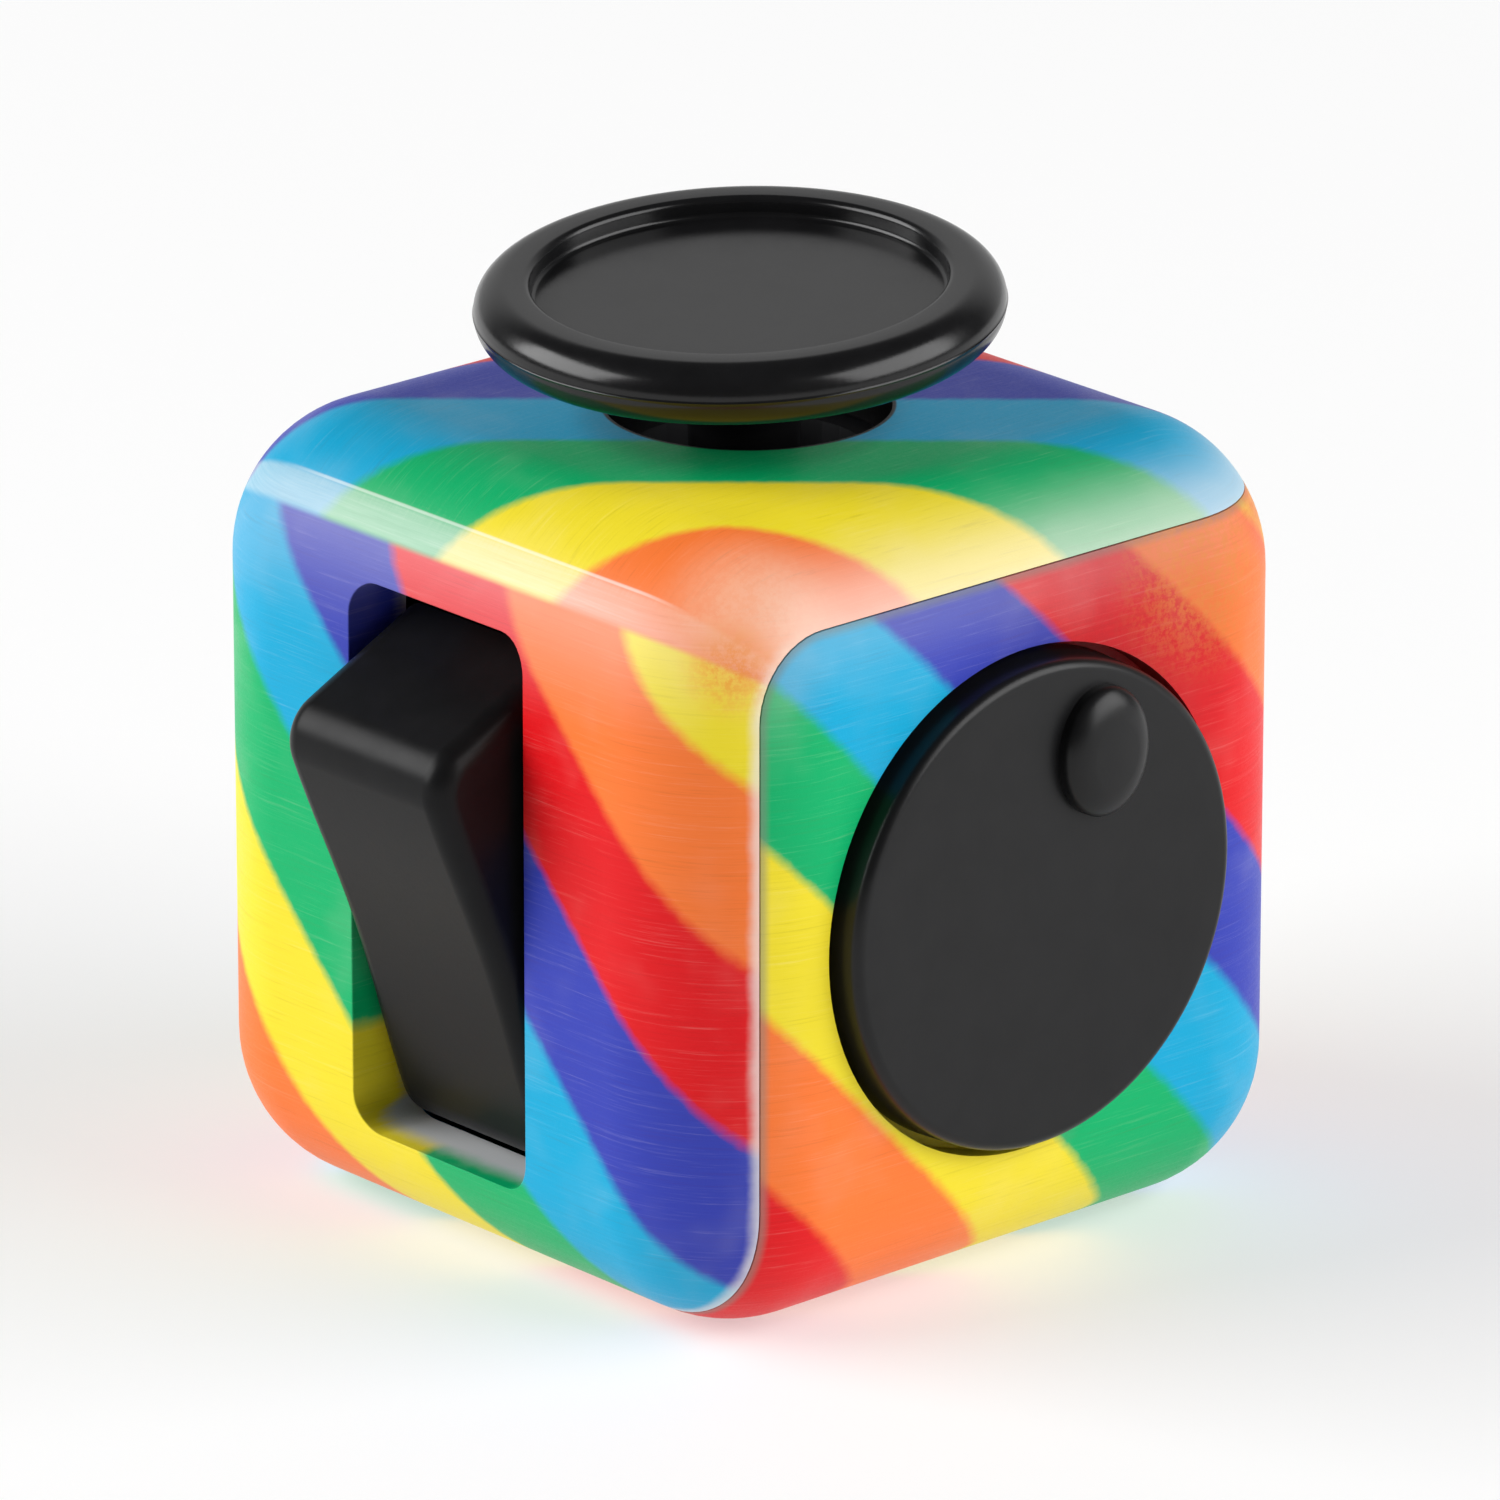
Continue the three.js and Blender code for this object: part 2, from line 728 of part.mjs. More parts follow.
// Openings and posts of each face
const stickHole = onFace(bar(stickHoleRadius, inside - 1, half + 1, 0, 0, 40), "top");
const stickScrewBores = [-1, 1].map((side) =>
  onFace(bar(screwBoreRadius, inside - 1, half - 0.5, side * stickScrewAcross, 0, 12), "top"),
);
const tunnel = onFace(
  raised(
    roundedOutline(slotHalfWidth + tunnelWall, slotHalfHeight + tunnelWall, slotCornerRadius + tunnelWall),
    tunnelLow,
    inside + 0.2,
  ),
  "front",
);
const slot = onFace(
  raised(roundedOutline(slotHalfWidth, slotHalfHeight, slotCornerRadius), tunnelLow - 1, half + 1),
  "front",
);
// The other shell's lip stays clear of the tunnel, so that a long rocker swings past it.
const wellGrowth = tunnelWall + fitGap;
const rockerWell = onFace(
  raised(
    roundedOutline(slotHalfWidth + wellGrowth, slotHalfHeight + wellGrowth, slotCornerRadius + wellGrowth),
    seam - lipReach - fitGap,
    half + 1,
  ),
  "front",
);
const cradleScrewBores = [-1, 1].map((side) =>
  onFace(bar(screwBoreRadius, inside - 1, half - 0.5, side * cradleScrewAcross, 0, 12), "front"),
);
const buttonHoles = buttonPlaces.map(([, across, up]) =>
  onFace(
    bar(buttonRadius + buttonHoleGap, inside - 1, half + 1, across * buttonSpacing, up * buttonSpacing),
    "left",
  ),
);
const buttonPosts = postHoles(padSheetLow + 0.1, inside + 0.2, buttonPostRadius).map((post) =>
  onFace(post, "left"),
);
const buttonScrewBores = postHoles(padSheetLow - 1, inside + 0.7, screwBoreRadius).map((bore) =>
  onFace(bore, "left"),
);

const upperShell = cut(
  join(cut(walls, lowerRegion(seamGap)), tunnel.subtract(lowerRegion(seamGap)), ...buttonPosts),
  stickHole,
  ...stickScrewBores,
  slot,
  ...cradleScrewBores,
  ...buttonHoles,
  ...buttonScrewBores,
);
addPiece("shell_top_front_left", upperShell, shellPlastic);

const lipInner = cavityAt(inside - lipThickness);
const lipInLower = cut(
  cavityAt(inside + fitGap).intersect(lowerRegion(0)),
  lipInner,
  lowerRegion(-lipReach),
);
// Behind the other shell the lip is only a strip that follows the seam.
const stripStart = seam - 0.5;
const lipInUpper = cut(
  cavityAt(inside - fitGap).intersect(lowerRegion(lipReach)),
  lipInner,
  lowerRegion(-lipReach),
  block([-farSide, -farSide, -stripStart], [stripStart, stripStart, farSide]),
);
const dialPad = onFace(bar(padRadius, padLow, inside + 0.2), "right");
const dialPocket = onFace(bar(dialRadius + dialPocketGap, pocketFloor, half + 2, 0, 0, 48), "right");
const dialBore = onFace(bar(dialHubRadius + loosePin, padLow - 1, half, 0, 0, 24), "right");
const clickBore = onFace(bar(screwBoreRadius, padLow - 1, padLow + 1.3, eyeAcross, eyeUp, 12), "right");
const rollerWindow = onFace(
  barAlongY(rollerRadius + 0.3, 2 * rollerSpan - 0.4, rollerAcross, 0, axleZ, 40),
  "back",
);
const axleGroove = onFace(
  barAlongY(axleRadius + fitGap, 2 * cradleEnd + fitGap, rollerAcross, 0, axleZ),
  "back",
);
const ballSeat = onFace(ball(ballRadius + fitGap, ballAcross, 0, ballZ, 20, 14), "back");
const rollPosts = [-1, 1].map((side) =>
  onFace(bar(rollPostRadius, plateTop + 0.1, inside + 0.2, 0, side * rollScrewUp, 20), "back"),
);
const rollScrewBores = [-1, 1].map((side) =>
  onFace(bar(screwBoreRadius, plateTop - 1, plateTop + 5.2, 0, side * rollScrewUp, 12), "back"),
);
const hollowSphere = (hollowRadius ** 2 + hollowDepth ** 2) / (2 * hollowDepth);
const hollowPad = onFace(bar(hollowRadius + 0.8, inside - hollowDepth, inside + 0.2, 0, 0, 40), "bottom");
const hollow = onFace(
  ball(hollowSphere, 0, 0, half + hollowSphere - hollowDepth, 36, 60),
  "bottom",
);
const lowerShell = cut(
  join(walls.intersect(lowerRegion(0)), lipInLower, lipInUpper, dialPad, ...rollPosts, hollowPad),
  dialPocket,
  dialBore,
  clickBore,
  rollerWindow,
  axleGroove,
  ballSeat,
  ...rollScrewBores,
  hollow,
  rockerWell,
);
addPiece("shell_right_back_bottom", lowerShell, shellPlastic);

// ---- Place the cube so that it stands on the ground over the middle of its outline ----
const bounds = new THREE.Box3().setFromObject(part);
const middle = bounds.getCenter(new THREE.Vector3());
for (const mesh of part.children) {
  mesh.position.set(-middle.x, -middle.y, half);
}

export default part;
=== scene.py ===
"""Looks of the fidget cube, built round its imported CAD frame."""

import json
import math

import bmesh
import bpy
from bpy.props import FloatProperty, FloatVectorProperty, PointerProperty
from mathutils import Matrix, Vector


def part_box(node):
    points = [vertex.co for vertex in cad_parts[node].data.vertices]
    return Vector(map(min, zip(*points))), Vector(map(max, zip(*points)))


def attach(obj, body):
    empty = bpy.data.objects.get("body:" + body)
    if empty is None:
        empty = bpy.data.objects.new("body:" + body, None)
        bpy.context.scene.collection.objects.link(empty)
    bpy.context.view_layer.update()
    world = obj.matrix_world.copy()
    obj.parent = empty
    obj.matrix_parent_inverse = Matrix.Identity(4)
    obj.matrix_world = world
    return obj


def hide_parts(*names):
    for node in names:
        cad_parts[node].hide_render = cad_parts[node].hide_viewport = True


bl_info = {
    "name": "Fidget Cube",
    "version": (1, 0, 0),
    "blender": (4, 5, 0),
    "location": "View3D > Sidebar > Fidget Cube",
    "description": "Builds the printed shells, controls and finishes of a fidget cube",
    "category": "Object",
}

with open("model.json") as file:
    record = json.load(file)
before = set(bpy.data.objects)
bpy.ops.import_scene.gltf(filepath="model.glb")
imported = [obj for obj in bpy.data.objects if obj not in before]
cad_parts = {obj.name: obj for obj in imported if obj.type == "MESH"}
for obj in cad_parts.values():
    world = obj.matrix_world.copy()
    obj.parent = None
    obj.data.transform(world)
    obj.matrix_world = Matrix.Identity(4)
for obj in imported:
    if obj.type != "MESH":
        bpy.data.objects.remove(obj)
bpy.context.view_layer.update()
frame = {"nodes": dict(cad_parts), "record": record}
MM = 0.001
# Vertices closer than this, in millimetres, are one.
MERGE = 1e-4
LOW_A, HIGH_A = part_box("shell_top_front_left")
LOW_B, HIGH_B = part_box("shell_right_back_bottom")
CENTRE = Vector(((LOW_A.x + HIGH_B.x) / 2, (LOW_A.y + HIGH_B.y) / 2, (LOW_B.z + HIGH_A.z) / 2))
CUBE_EDGE = (HIGH_A.z - LOW_B.z) / MM

# Each face's own axes: across, up the face, and out of it, as seen from outside.
FACES = {
    "top": ((1, 0, 0), (0, 1, 0), (0, 0, 1)),
    "front": ((1, 0, 0), (0, 0, 1), (0, -1, 0)),
    "right": ((0, 1, 0), (0, 0, 1), (1, 0, 0)),
    "left": ((0, -1, 0), (0, 0, 1), (-1, 0, 0)),
    "back": ((-1, 0, 0), (0, 0, 1), (0, 1, 0)),
    "bottom": ((-1, 0, 0), (0, 1, 0), (0, 0, -1)),
}


def hex_colour(code, alpha=1.0):
    """A linear colour from an sRGB hex code such as 'E8252B'."""
    parts = [int(code[i : i + 2], 16) / 255 for i in (0, 2, 4)]
    linear = [c / 12.92 if c <= 0.04045 else ((c + 0.055) / 1.055) ** 2.4 for c in parts]
    return (*linear, alpha)


# ---------------------------------------------------------------- sizes and colours


class FC_CubeSizes(bpy.types.PropertyGroup):
    """Sizes of the shells, in millimetres"""

    edge_radius: FloatProperty(
        name="Edge radius", description="Rounding of the cube's edges, mm", default=6.4
    )
    wall: FloatProperty(name="Wall", description="Thickness of the shells, mm", default=1.8)
    seam_inset: FloatProperty(
        name="Seam inset", description="How far the seam lies in from the faces, mm", default=3.2
    )
    seam_gap: FloatProperty(name="Seam gap", description="Gap between the shells, mm", default=0.05)
    lip: FloatProperty(
        name="Edge softness", description="Rounding of the openings' edges, mm", default=0.16
    )
    slot_lip: FloatProperty(
        name="Slot softness", description="Rounding of the slot's edge, mm", default=0.45
    )
    stick_hole: FloatProperty(
        name="Stick hole", description="Radius of the stick's hole, mm", default=5.75
    )
    slot_half_width: FloatProperty(
        name="Slot half width", description="Half the slot's width, mm", default=5.25
    )
    slot_half_height: FloatProperty(
        name="Slot half height", description="Half the slot's height, mm", default=11.65
    )
    slot_corner: FloatProperty(
        name="Slot corner", description="Corner radius of the slot, mm", default=1.5
    )
    pocket_radius: FloatProperty(
        name="Dial pocket", description="Radius of the dial's pocket, mm", default=10.5
    )
    pocket_depth: FloatProperty(
        name="Pocket depth", description="Depth of the dial's pocket, mm", default=1.25
    )


class FC_Colours(bpy.types.PropertyGroup):
    """Colours of the print and the plastics"""

    red: FloatVectorProperty(
        name="Red", description="Red stripe", subtype="COLOR", size=4, default=hex_colour("DE1219")
    )
    orange: FloatVectorProperty(
        name="Orange", description="Orange stripe", subtype="COLOR", size=4, default=hex_colour("F47834")
    )
    yellow: FloatVectorProperty(
        name="Yellow", description="Yellow stripe", subtype="COLOR", size=4, default=hex_colour("EEDA2C")
    )
    green: FloatVectorProperty(
        name="Green", description="Green stripe", subtype="COLOR", size=4, default=hex_colour("00AE68")
    )
    sky: FloatVectorProperty(
        name="Light blue",
        description="Light blue stripe",
        subtype="COLOR",
        size=4,
        default=hex_colour("04A4D0"),
    )
    violet: FloatVectorProperty(
        name="Violet", description="Violet stripe", subtype="COLOR", size=4, default=hex_colour("3440AE")
    )
    base: FloatVectorProperty(
        name="Bare plastic",
        description="Plastic under the print",
        subtype="COLOR",
        size=4,
        default=hex_colour("C9CACB"),
    )
    black: FloatVectorProperty(
        name="Black plastic",
        description="Moulded controls",
        subtype="COLOR",
        size=4,
        default=hex_colour("0E0E0F"),
    )


# ---------------------------------------------------------------- making solids


def face_matrix(face):
    """From a face's own millimetres, with Z out of it, to the row frame in metres."""
    across, up, out = (Vector(v) for v in FACES[face])
    turn = Matrix((across, up, out)).transposed().to_4x4()
    return Matrix.Translation(CENTRE) @ turn @ Matrix.Scale(MM, 4)


def place_face(bm, face):
    """Lays a solid drawn on a face into the cube's own millimetres."""
    across, up, out = (Vector(v) for v in FACES[face])
    bmesh.ops.transform(bm, matrix=Matrix((across, up, out)).transposed().to_4x4(), verts=bm.verts)
    return bm


def place_back(bm):
    """Turns a solid in the cube's own millimetres into the front face's axes."""
    across, up, out = (Vector(v) for v in FACES["front"])
    turn = Matrix((across, up, out)).to_4x4()
    bmesh.ops.transform(bm, matrix=turn, verts=bm.verts)
    return bm


def cube_row():
    """From the cube's own millimetres to the row frame."""
    return Matrix.Translation(CENTRE) @ Matrix.Scale(MM, 4)


def centred(node_name):
    """Lowest and highest corner of a CAD node, in the cube's own millimetres."""
    low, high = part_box(node_name)
    return (low - CENTRE) / MM, (high - CENTRE) / MM


def along(face, point):
    """A point of the cube in a face's own axes: across, up and out."""
    return [Vector(axis).dot(point) for axis in FACES[face]]


def arc(centre_r, centre_z, radius, start, end, steps):
    """Points of an arc in a profile, angles in degrees."""
    angles = [math.radians(start + (end - start) * i / steps) for i in range(steps + 1)]
    return [(centre_r + radius * math.cos(a), centre_z + radius * math.sin(a)) for a in angles]


def turned(profile, steps=96):
    """A solid of revolution about Z from a profile of (radius, height)."""
    bm = bmesh.new()
    verts = [bm.verts.new((r, 0, z)) for r, z in profile]
    edges = [bm.edges.new(pair) for pair in zip(verts, verts[1:])]
    bmesh.ops.spin(
        bm,
        geom=verts + edges,
        cent=(0, 0, 0),
        axis=(0, 0, 1),
        angle=math.tau,
        steps=steps,
        use_merge=True,
    )
    bmesh.ops.remove_doubles(bm, verts=bm.verts, dist=MERGE)
    bmesh.ops.recalc_face_normals(bm, faces=bm.faces)
    return bm


def bar(radius, low, high, x=0.0, y=0.0, steps=64):
    """A round bar along Z."""
    bm = bmesh.new()
    bmesh.ops.create_cone(
        bm,
        cap_ends=True,
        segments=steps,
        radius1=radius,
        radius2=radius,
        depth=high - low,
        matrix=Matrix.Translation((x, y, (low + high) / 2)),
    )
    return bm


def block(low, high):
    """A plain block between two corners."""
    bm = bmesh.new()
    size = [h - l for l, h in zip(low, high)]
    middle = [(h + l) / 2 for l, h in zip(low, high)]
    bmesh.ops.create_cube(bm, size=1, matrix=Matrix.Translation(middle) @ Matrix.Diagonal((*size, 1)))
    return bm


def round_edges(bm, edges, offset, segments, clamp=True):
    """Rounds the given edges."""
    bmesh.ops.bevel(
        bm,
        geom=list(edges),
        offset=offset,
        offset_type="OFFSET",
        segments=segments,
        profile=0.5,
        affect="EDGES",
        material=-1,
        clamp_overlap=clamp,
    )
    return bm


def rounded_block(low, high, radius, segments):
    """A block with every edge rounded."""
    bm = block(low, high)
    return round_edges(bm, bm.edges, radius, segments)


def rounded_prism(half_x, half_y, radius, low, high, segments=8):
    """A block whose upright edges are rounded."""
    bm = block((-half_x, -half_y, low), (half_x, half_y, high))
    standing = [e for e in bm.edges if abs(e.verts[0].co.z - e.verts[1].co.z) > 1e-6]
    return round_edges(bm, standing, radius, segments)


def mesh_object(name, bm):
    """An object of a bmesh, which is freed."""
    mesh = bpy.data.meshes.new(name)
    bm.to_mesh(mesh)
    bm.free()
    obj = bpy.data.objects.new(name, mesh)
    bpy.context.scene.collection.objects.link(obj)
    return obj


def combine(bm, tools):
    """Joins or cuts a solid with (operation, solid) pairs, in order."""
    base = mesh_object("carving", bm)
    for operation, tool in tools:
        cutter = mesh_object("carver", tool)
        modifier = base.modifiers.new("carve", "BOOLEAN")
        modifier.operation = operation
        modifier.solver = "EXACT"
        modifier.object = cutter
        bpy.context.view_layer.update()
        evaluated = base.evaluated_get(bpy.context.evaluated_depsgraph_get())
        result = bpy.data.meshes.new_from_object(evaluated)
        base.modifiers.clear()
        old = base.data
        base.data = result
        bpy.data.meshes.remove(old)
        bpy.data.objects.remove(cutter)
    out = bmesh.new()
    out.from_mesh(base.data)
    mesh = base.data
    bpy.data.objects.remove(base)
    bpy.data.meshes.remove(mesh)
    bmesh.ops.remove_doubles(out, verts=out.verts, dist=MERGE)
    bmesh.ops.dissolve_degenerate(out, dist=MERGE, edges=out.edges)
    return out


def sharp_edges(bm, degrees):
    """Edges whose two faces meet at more than this angle."""
    limit = math.radians(degrees)
    return [e for e in bm.edges if len(e.link_faces) == 2 and e.calc_face_angle(0) > limit]


def finish_piece(name, bm, matrix, body, material, nodes, sharp=38):
    """Turns a bmesh into a piece that rides on a body and stands for CAD nodes."""
    bmesh.ops.transform(bm, matrix=matrix, verts=bm.verts)
    for face in bm.faces:
        face.smooth = True
    for edge in bm.edges:
        edge.smooth = True
    for edge in sharp_edges(bm, sharp):
        edge.smooth = False
    obj = mesh_object(name, bm)
    obj.data.materials.append(material)
    weighted = obj.modifiers.new("even shading", "WEIGHTED_NORMAL")
    weighted.keep_sharp = True
    weighted.weight = 80
    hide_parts(*nodes)
    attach(obj, body)
    return obj


# ---------------------------------------------------------------- materials


def node(tree, kind, inputs=None, **settings):
    """Adds a node with its settings; an input is a value or a socket to link from."""
    made = tree.nodes.new(kind)
    for key, value in settings.items():
        setattr(made, key, value)
    for key, value in (inputs or {}).items():
        if isinstance(value, bpy.types.NodeSocket):
            tree.links.new(value, made.inputs[key])
        else:
            made.inputs[key].default_value = value
    return made


def new_material(name):
    """An empty node material with its shader and output; returns the material, tree and shader."""
    material = bpy.data.materials.new(name)
    material.use_nodes = True
    tree = material.node_tree
    tree.nodes.clear()
    shader = tree.nodes.new("ShaderNodeBsdfPrincipled")
    node(tree, "ShaderNodeOutputMaterial", {"Surface": shader.outputs[0]})
    return material, tree, shader


def cube_millimetres(tree):
    """Object coordinates turned into millimetres from the cube's middle."""
    place = node(tree, "ShaderNodeTexCoord")
    shifted = node(
        tree,
        "ShaderNodeMapping",
        {"Vector": place.outputs["Object"], "Location": -CENTRE / MM, "Scale": (1 / MM,) * 3},
        vector_type="POINT",
    )
    return shifted.outputs[0]


# Nodes by a short name: their type, settings, and the keys of their inputs in order. Any other
# name is an operation of the Math node.
SHORT_NAMES = {
    "ramp": (
        "ShaderNodeMapRange",
        {"interpolation_type": "SMOOTHSTEP"},
        ("Value", "From Min", "From Max", "To Min", "To Max"),
    ),
    "mix": ("ShaderNodeMix", {"data_type": "FLOAT"}, (0, 2, 3)),
    "blend": ("ShaderNodeMix", {"data_type": "RGBA"}, ("Factor", "A", "B")),
    "noise": ("ShaderNodeTexNoise", {}, ("Vector", "Scale", "Detail", "Roughness")),
}
# Slopes of the lines across a rounded edge that stand 60 and about 46 degrees round it.
EDGE_SLOPE = 0.577
HALFWAY_SLOPE = 0.97


def uv_printed_abs(name, prints):
    """ABS shell, injection moulded and then printed flat-bed with stripes of cured ink.

    The ink gives a satin skin with fine print-head lines. It thins to the bare plastic down the
    openings' walls. The pale lip along the upper shell's seam is partly wear and partly a painted
    highlight, and where the top's and the front's prints meet over the edge lie painted sheen and a
    painted highlight line. Pale fades on the rounded edges are painted sheen, and the lower shell
    has a painted shadow beside the seam.
    """
    sizes, colours = bpy.context.scene.fc_sizes, bpy.context.scene.fc_colours
    material, tree, shader = new_material(name)
    point = cube_millimetres(tree)
    x, y, z = node(tree, "ShaderNodeSeparateXYZ", {"Vector": point}).outputs
    half = CUBE_EDGE / 2
    core = half - sizes.edge_radius
    seam = half - sizes.seam_inset

    def add(kind, *inputs):
        """Adds a node by its short name and gives the socket of its result."""
        maths = ("ShaderNodeMath", {"operation": kind}, (0, 1, 2))
        name, settings, keys = SHORT_NAMES.get(kind, maths)
        made = node(tree, name, dict(zip(keys, inputs)), **settings)
        return next(socket for socket in made.outputs if socket.enabled)

    signed = {"x": x, "-x": add("MULTIPLY", x, -1.0), "y": y, "-y": add("MULTIPLY", y, -1.0)}
    signed.update({"z": z, "-z": add("MULTIPLY", z, -1.0)})

    # A wobble of two or three hundredths of a stripe keeps the borders from being ruled lines.
    wander = add("MULTIPLY", add("SUBTRACT", add("noise", point, 1.6, 3.0, 0.6), 0.5), 0.05)
    bands = [colours.red, colours.orange, colours.yellow, colours.green, colours.sky, colours.violet]
    blur, repeat = 0.008, len(bands)
    ends = [(a + b) / 2 for a, b in zip(bands[5], bands[0])]

    def beyond(out):
        """How far a point is past the middle of the rounding towards a face."""
        return add("SUBTRACT", signed[out], core)

    def stripes(faces):
        """Colours of faces whose stripes run on into each other round their edges."""
        count = reach = None
        for out, offset, *rises in faces:
            value = add("ADD", wander, offset)
            for axis, rise in zip((x, y, z), rises):
                value = add("MULTIPLY_ADD", axis, rise, value)
            if count is None:
                count, reach = value, beyond(out)
                continue
            past_edge = add("SUBTRACT", add("MULTIPLY", beyond(out), EDGE_SLOPE), reach)
            turned_over = add("ramp", past_edge, -2.0, 2.0)
            count = add("mix", turned_over, count, value)
            reach = add("MAXIMUM", reach, beyond(out))
        turn = add("FRACT", add("DIVIDE", count, float(repeat)))
        ramp = node(tree, "ShaderNodeValToRGB", {"Fac": turn})
        elements = ramp.color_ramp.elements
        elements[0].position, elements[0].color = 0.0, ends
        elements[1].position, elements[1].color = 1.0, ends
        for i, colour in enumerate(bands):
            elements.new(i / repeat + blur).color = colour
            elements.new((i + 1) / repeat - blur).color = colour
        return ramp.outputs[0]

    # The first print reaches 60 degrees round the edge to the next one's face.
    ink = stripes(prints[0])
    for later in prints[1:]:
        edge = add("SUBTRACT", add("MULTIPLY", beyond(later[0][0]), EDGE_SLOPE), beyond(prints[0][0][0]))
        ink = add("blend", add("ramp", edge, -0.2, 0.2), ink, stripes(later))

    # Print-head lines run level round the sides and front to back on top. Real ones are about
    # 0.04 mm apart; these are 0.1 mm apart and more, so that they show.
    level = node(tree, "ShaderNodeMapping", {"Vector": point, "Scale": (0.22, 0.22, 9.0)})
    lengthwise = node(
        tree, "ShaderNodeMapping", {"Vector": point, "Rotation": (0, 0, 0.35), "Scale": (7.0, 0.35, 0.3)}
    )
    lines = [add("noise", way.outputs[0], 1.0, 4.0, 0.7) for way in (level, lengthwise)]
    scratch = add("mix", add("ramp", z, 13.8, 15.2), *lines)
    ink = add("blend", add("ramp", scratch, 0.52, 0.85, 0.0, 0.10), ink, hex_colour("FFF6EA"))
    ink = add("blend", add("ramp", scratch, 0.48, 0.22, 0.0, 0.15), ink, hex_colour("5A2418"))
    clouds = add("ramp", add("noise", point, 0.22, 2.0, 0.6), 0.5, 0.8, 0.0, 0.05)
    ink = add("blend", clouds, ink, hex_colour("FFF6EA"))

    # Distance from the seam: the other shell's region is a box with rounded corners.
    corner = node(
        tree,
        "ShaderNodeVectorMath",
        {0: point, 1: (-1.0, -1.0, 1.0), 2: (sizes.seam_inset - seam,) * 3},
        operation="MULTIPLY_ADD",
    )
    outside = node(tree, "ShaderNodeVectorMath", {0: corner.outputs[0], 1: (0.0,) * 3}, operation="MAXIMUM")
    length = node(tree, "ShaderNodeVectorMath", {0: outside.outputs[0]}, operation="LENGTH")
    away = add("SUBTRACT", length.outputs["Value"], sizes.seam_inset)

    if prints is UPPER_PRINTS:
        # A pale band of painted sheen lies over the front edge below the top's print, with a painted
        # highlight line along its upper border, which lies halfway round the edge.
        up, out = add("SUBTRACT", z, core), add("SUBTRACT", signed["-y"], core)
        slant = add("SUBTRACT", up, add("MULTIPLY", out, HALFWAY_SLOPE))
        along = add("MULTIPLY", add("ramp", x, -11.5, -8.0), add("ramp", x, 13.0, 9.5))
        streaks = add("ramp", scratch, 0.2, 0.8, 0.8, 1.2)
        painted_sheen = add("MULTIPLY", add("ramp", slant, 0.2, -0.3, 0.0, 0.36), streaks)
        above_border = add("ramp", add("SUBTRACT", up, add("MULTIPLY", out, EDGE_SLOPE)), -0.2, 0.3)
        sheen_band = add("MULTIPLY", add("MULTIPLY", painted_sheen, above_border), add("ramp", x, 14.0, 4.0, 0.45, 1.0))
        sheen_band = add("MULTIPLY", sheen_band, add("ramp", x, -16.0, -13.5))
        ink = add("blend", sheen_band, ink, hex_colour("EEF4EC"))
        highlight_line = add("ramp", add("ABSOLUTE", slant), 0.14, 0.03, 0.0, 0.42)
        ink = add("blend", add("MULTIPLY", highlight_line, along), ink, hex_colour("FFFDF8"))
        # The front's print is paled near its upper edge: painted sheen.
        painted_light_fade = add("MULTIPLY", add("ramp", z, 8.5, 13.3, 0.0, 0.12), add("ramp", y, -14.5, -15.5))
        ink = add("blend", painted_light_fade, ink, hex_colour("F4EEF4"))
        # The upper shell's seam has a pale lip with a ragged edge: partly wear, partly a painted highlight.
        ragged = add("SUBTRACT", add("noise", point, 0.7, 3.0, 0.6), 0.5)
        lip_wear_and_highlight = add("ADD", away, add("MULTIPLY", ragged, 0.3))
        # Past the near corner a painted highlight pales the print towards the seam instead of the lip.
        past_corner = add("ramp", y, -13.5, -10.5)
        painted_light_fade = add("MULTIPLY", add("ramp", away, 3.0, 0.3, 0.0, 0.38), past_corner)
        painted_light_fade = add("MULTIPLY", painted_light_fade, add("ramp", x, 9.0, 12.0))
        ink = add("blend", painted_light_fade, ink, hex_colour("F8F0EA"))
        share = add("SUBTRACT", 1.0, add("MULTIPLY", past_corner, 0.8))
        lip = add("MULTIPLY", add("ramp", lip_wear_and_highlight, 0.55, 0.05, 0.0, 0.6), share)
        ink = add("blend", lip, ink, hex_colour("F2EEE6"))
        tints_and_painted_light = (
            # The first spot is a painted highlight at the near top corner; the second is an orange tint.
            (Vector((14.6, -12.6, 14.4)), 5.0, "FBE2C8", 0.45, 0.8),
            (Vector((14.6, -13.9, 12.4)), 2.4, "EE8C2E", 0.75, 0.4),
        )
    else:
        # The print is paled over the upper edge: painted sheen.
        painted_light_fade = add("MULTIPLY", add("ramp", away, -3.2, -0.4, 0.0, 0.06), add("ramp", z, 8.5, 11.5))
        ink = add("blend", painted_light_fade, ink, hex_colour("F6F2F4"))
        # The lower shell sits a hair below the seam's lip, and a painted shadow darkens it along the seam.
        ink = add("blend", add("ramp", away, -0.4, -0.02, 0.0, 0.55), ink, hex_colour("7E8278"))
        tints_and_painted_light = (
            # The first spot is painted shade above the dial; the other two are tints.
            (Vector((16.5, 6.0, 11.0)), 11.0, "4A3038", 0.28, 0.85),
            (Vector((16.3, 9.8, 12.0)), 6.0, "D8863C", 0.6, 0.1),
            (Vector((14.9, 14.9, 12.9)), 3.2, "DC4A3A", 0.85, 0.9),
        )

    # Spots pale, darken or speckle the print with another tint, each grain about 0.2 mm: a painted
    # highlight at the near top corner, painted shade above the dial, and tints elsewhere. A spot has
    # its middle, its reach, its tint, its strength, and how even it is from 0 to 1.
    speckle = add("ramp", add("noise", point, 2.6, 4.0, 0.8), 0.38, 0.62)
    for place, radius, tint, strength, even in tints_and_painted_light:
        gap = node(tree, "ShaderNodeVectorMath", {0: point, 1: place}, operation="DISTANCE")
        near = add("ramp", gap.outputs["Value"], radius, radius * 0.1, 0.0, strength)
        grains = add("MULTIPLY_ADD", speckle, 1 - even, even)
        ink = add("blend", add("MULTIPLY", near, grains), ink, hex_colour(tint))

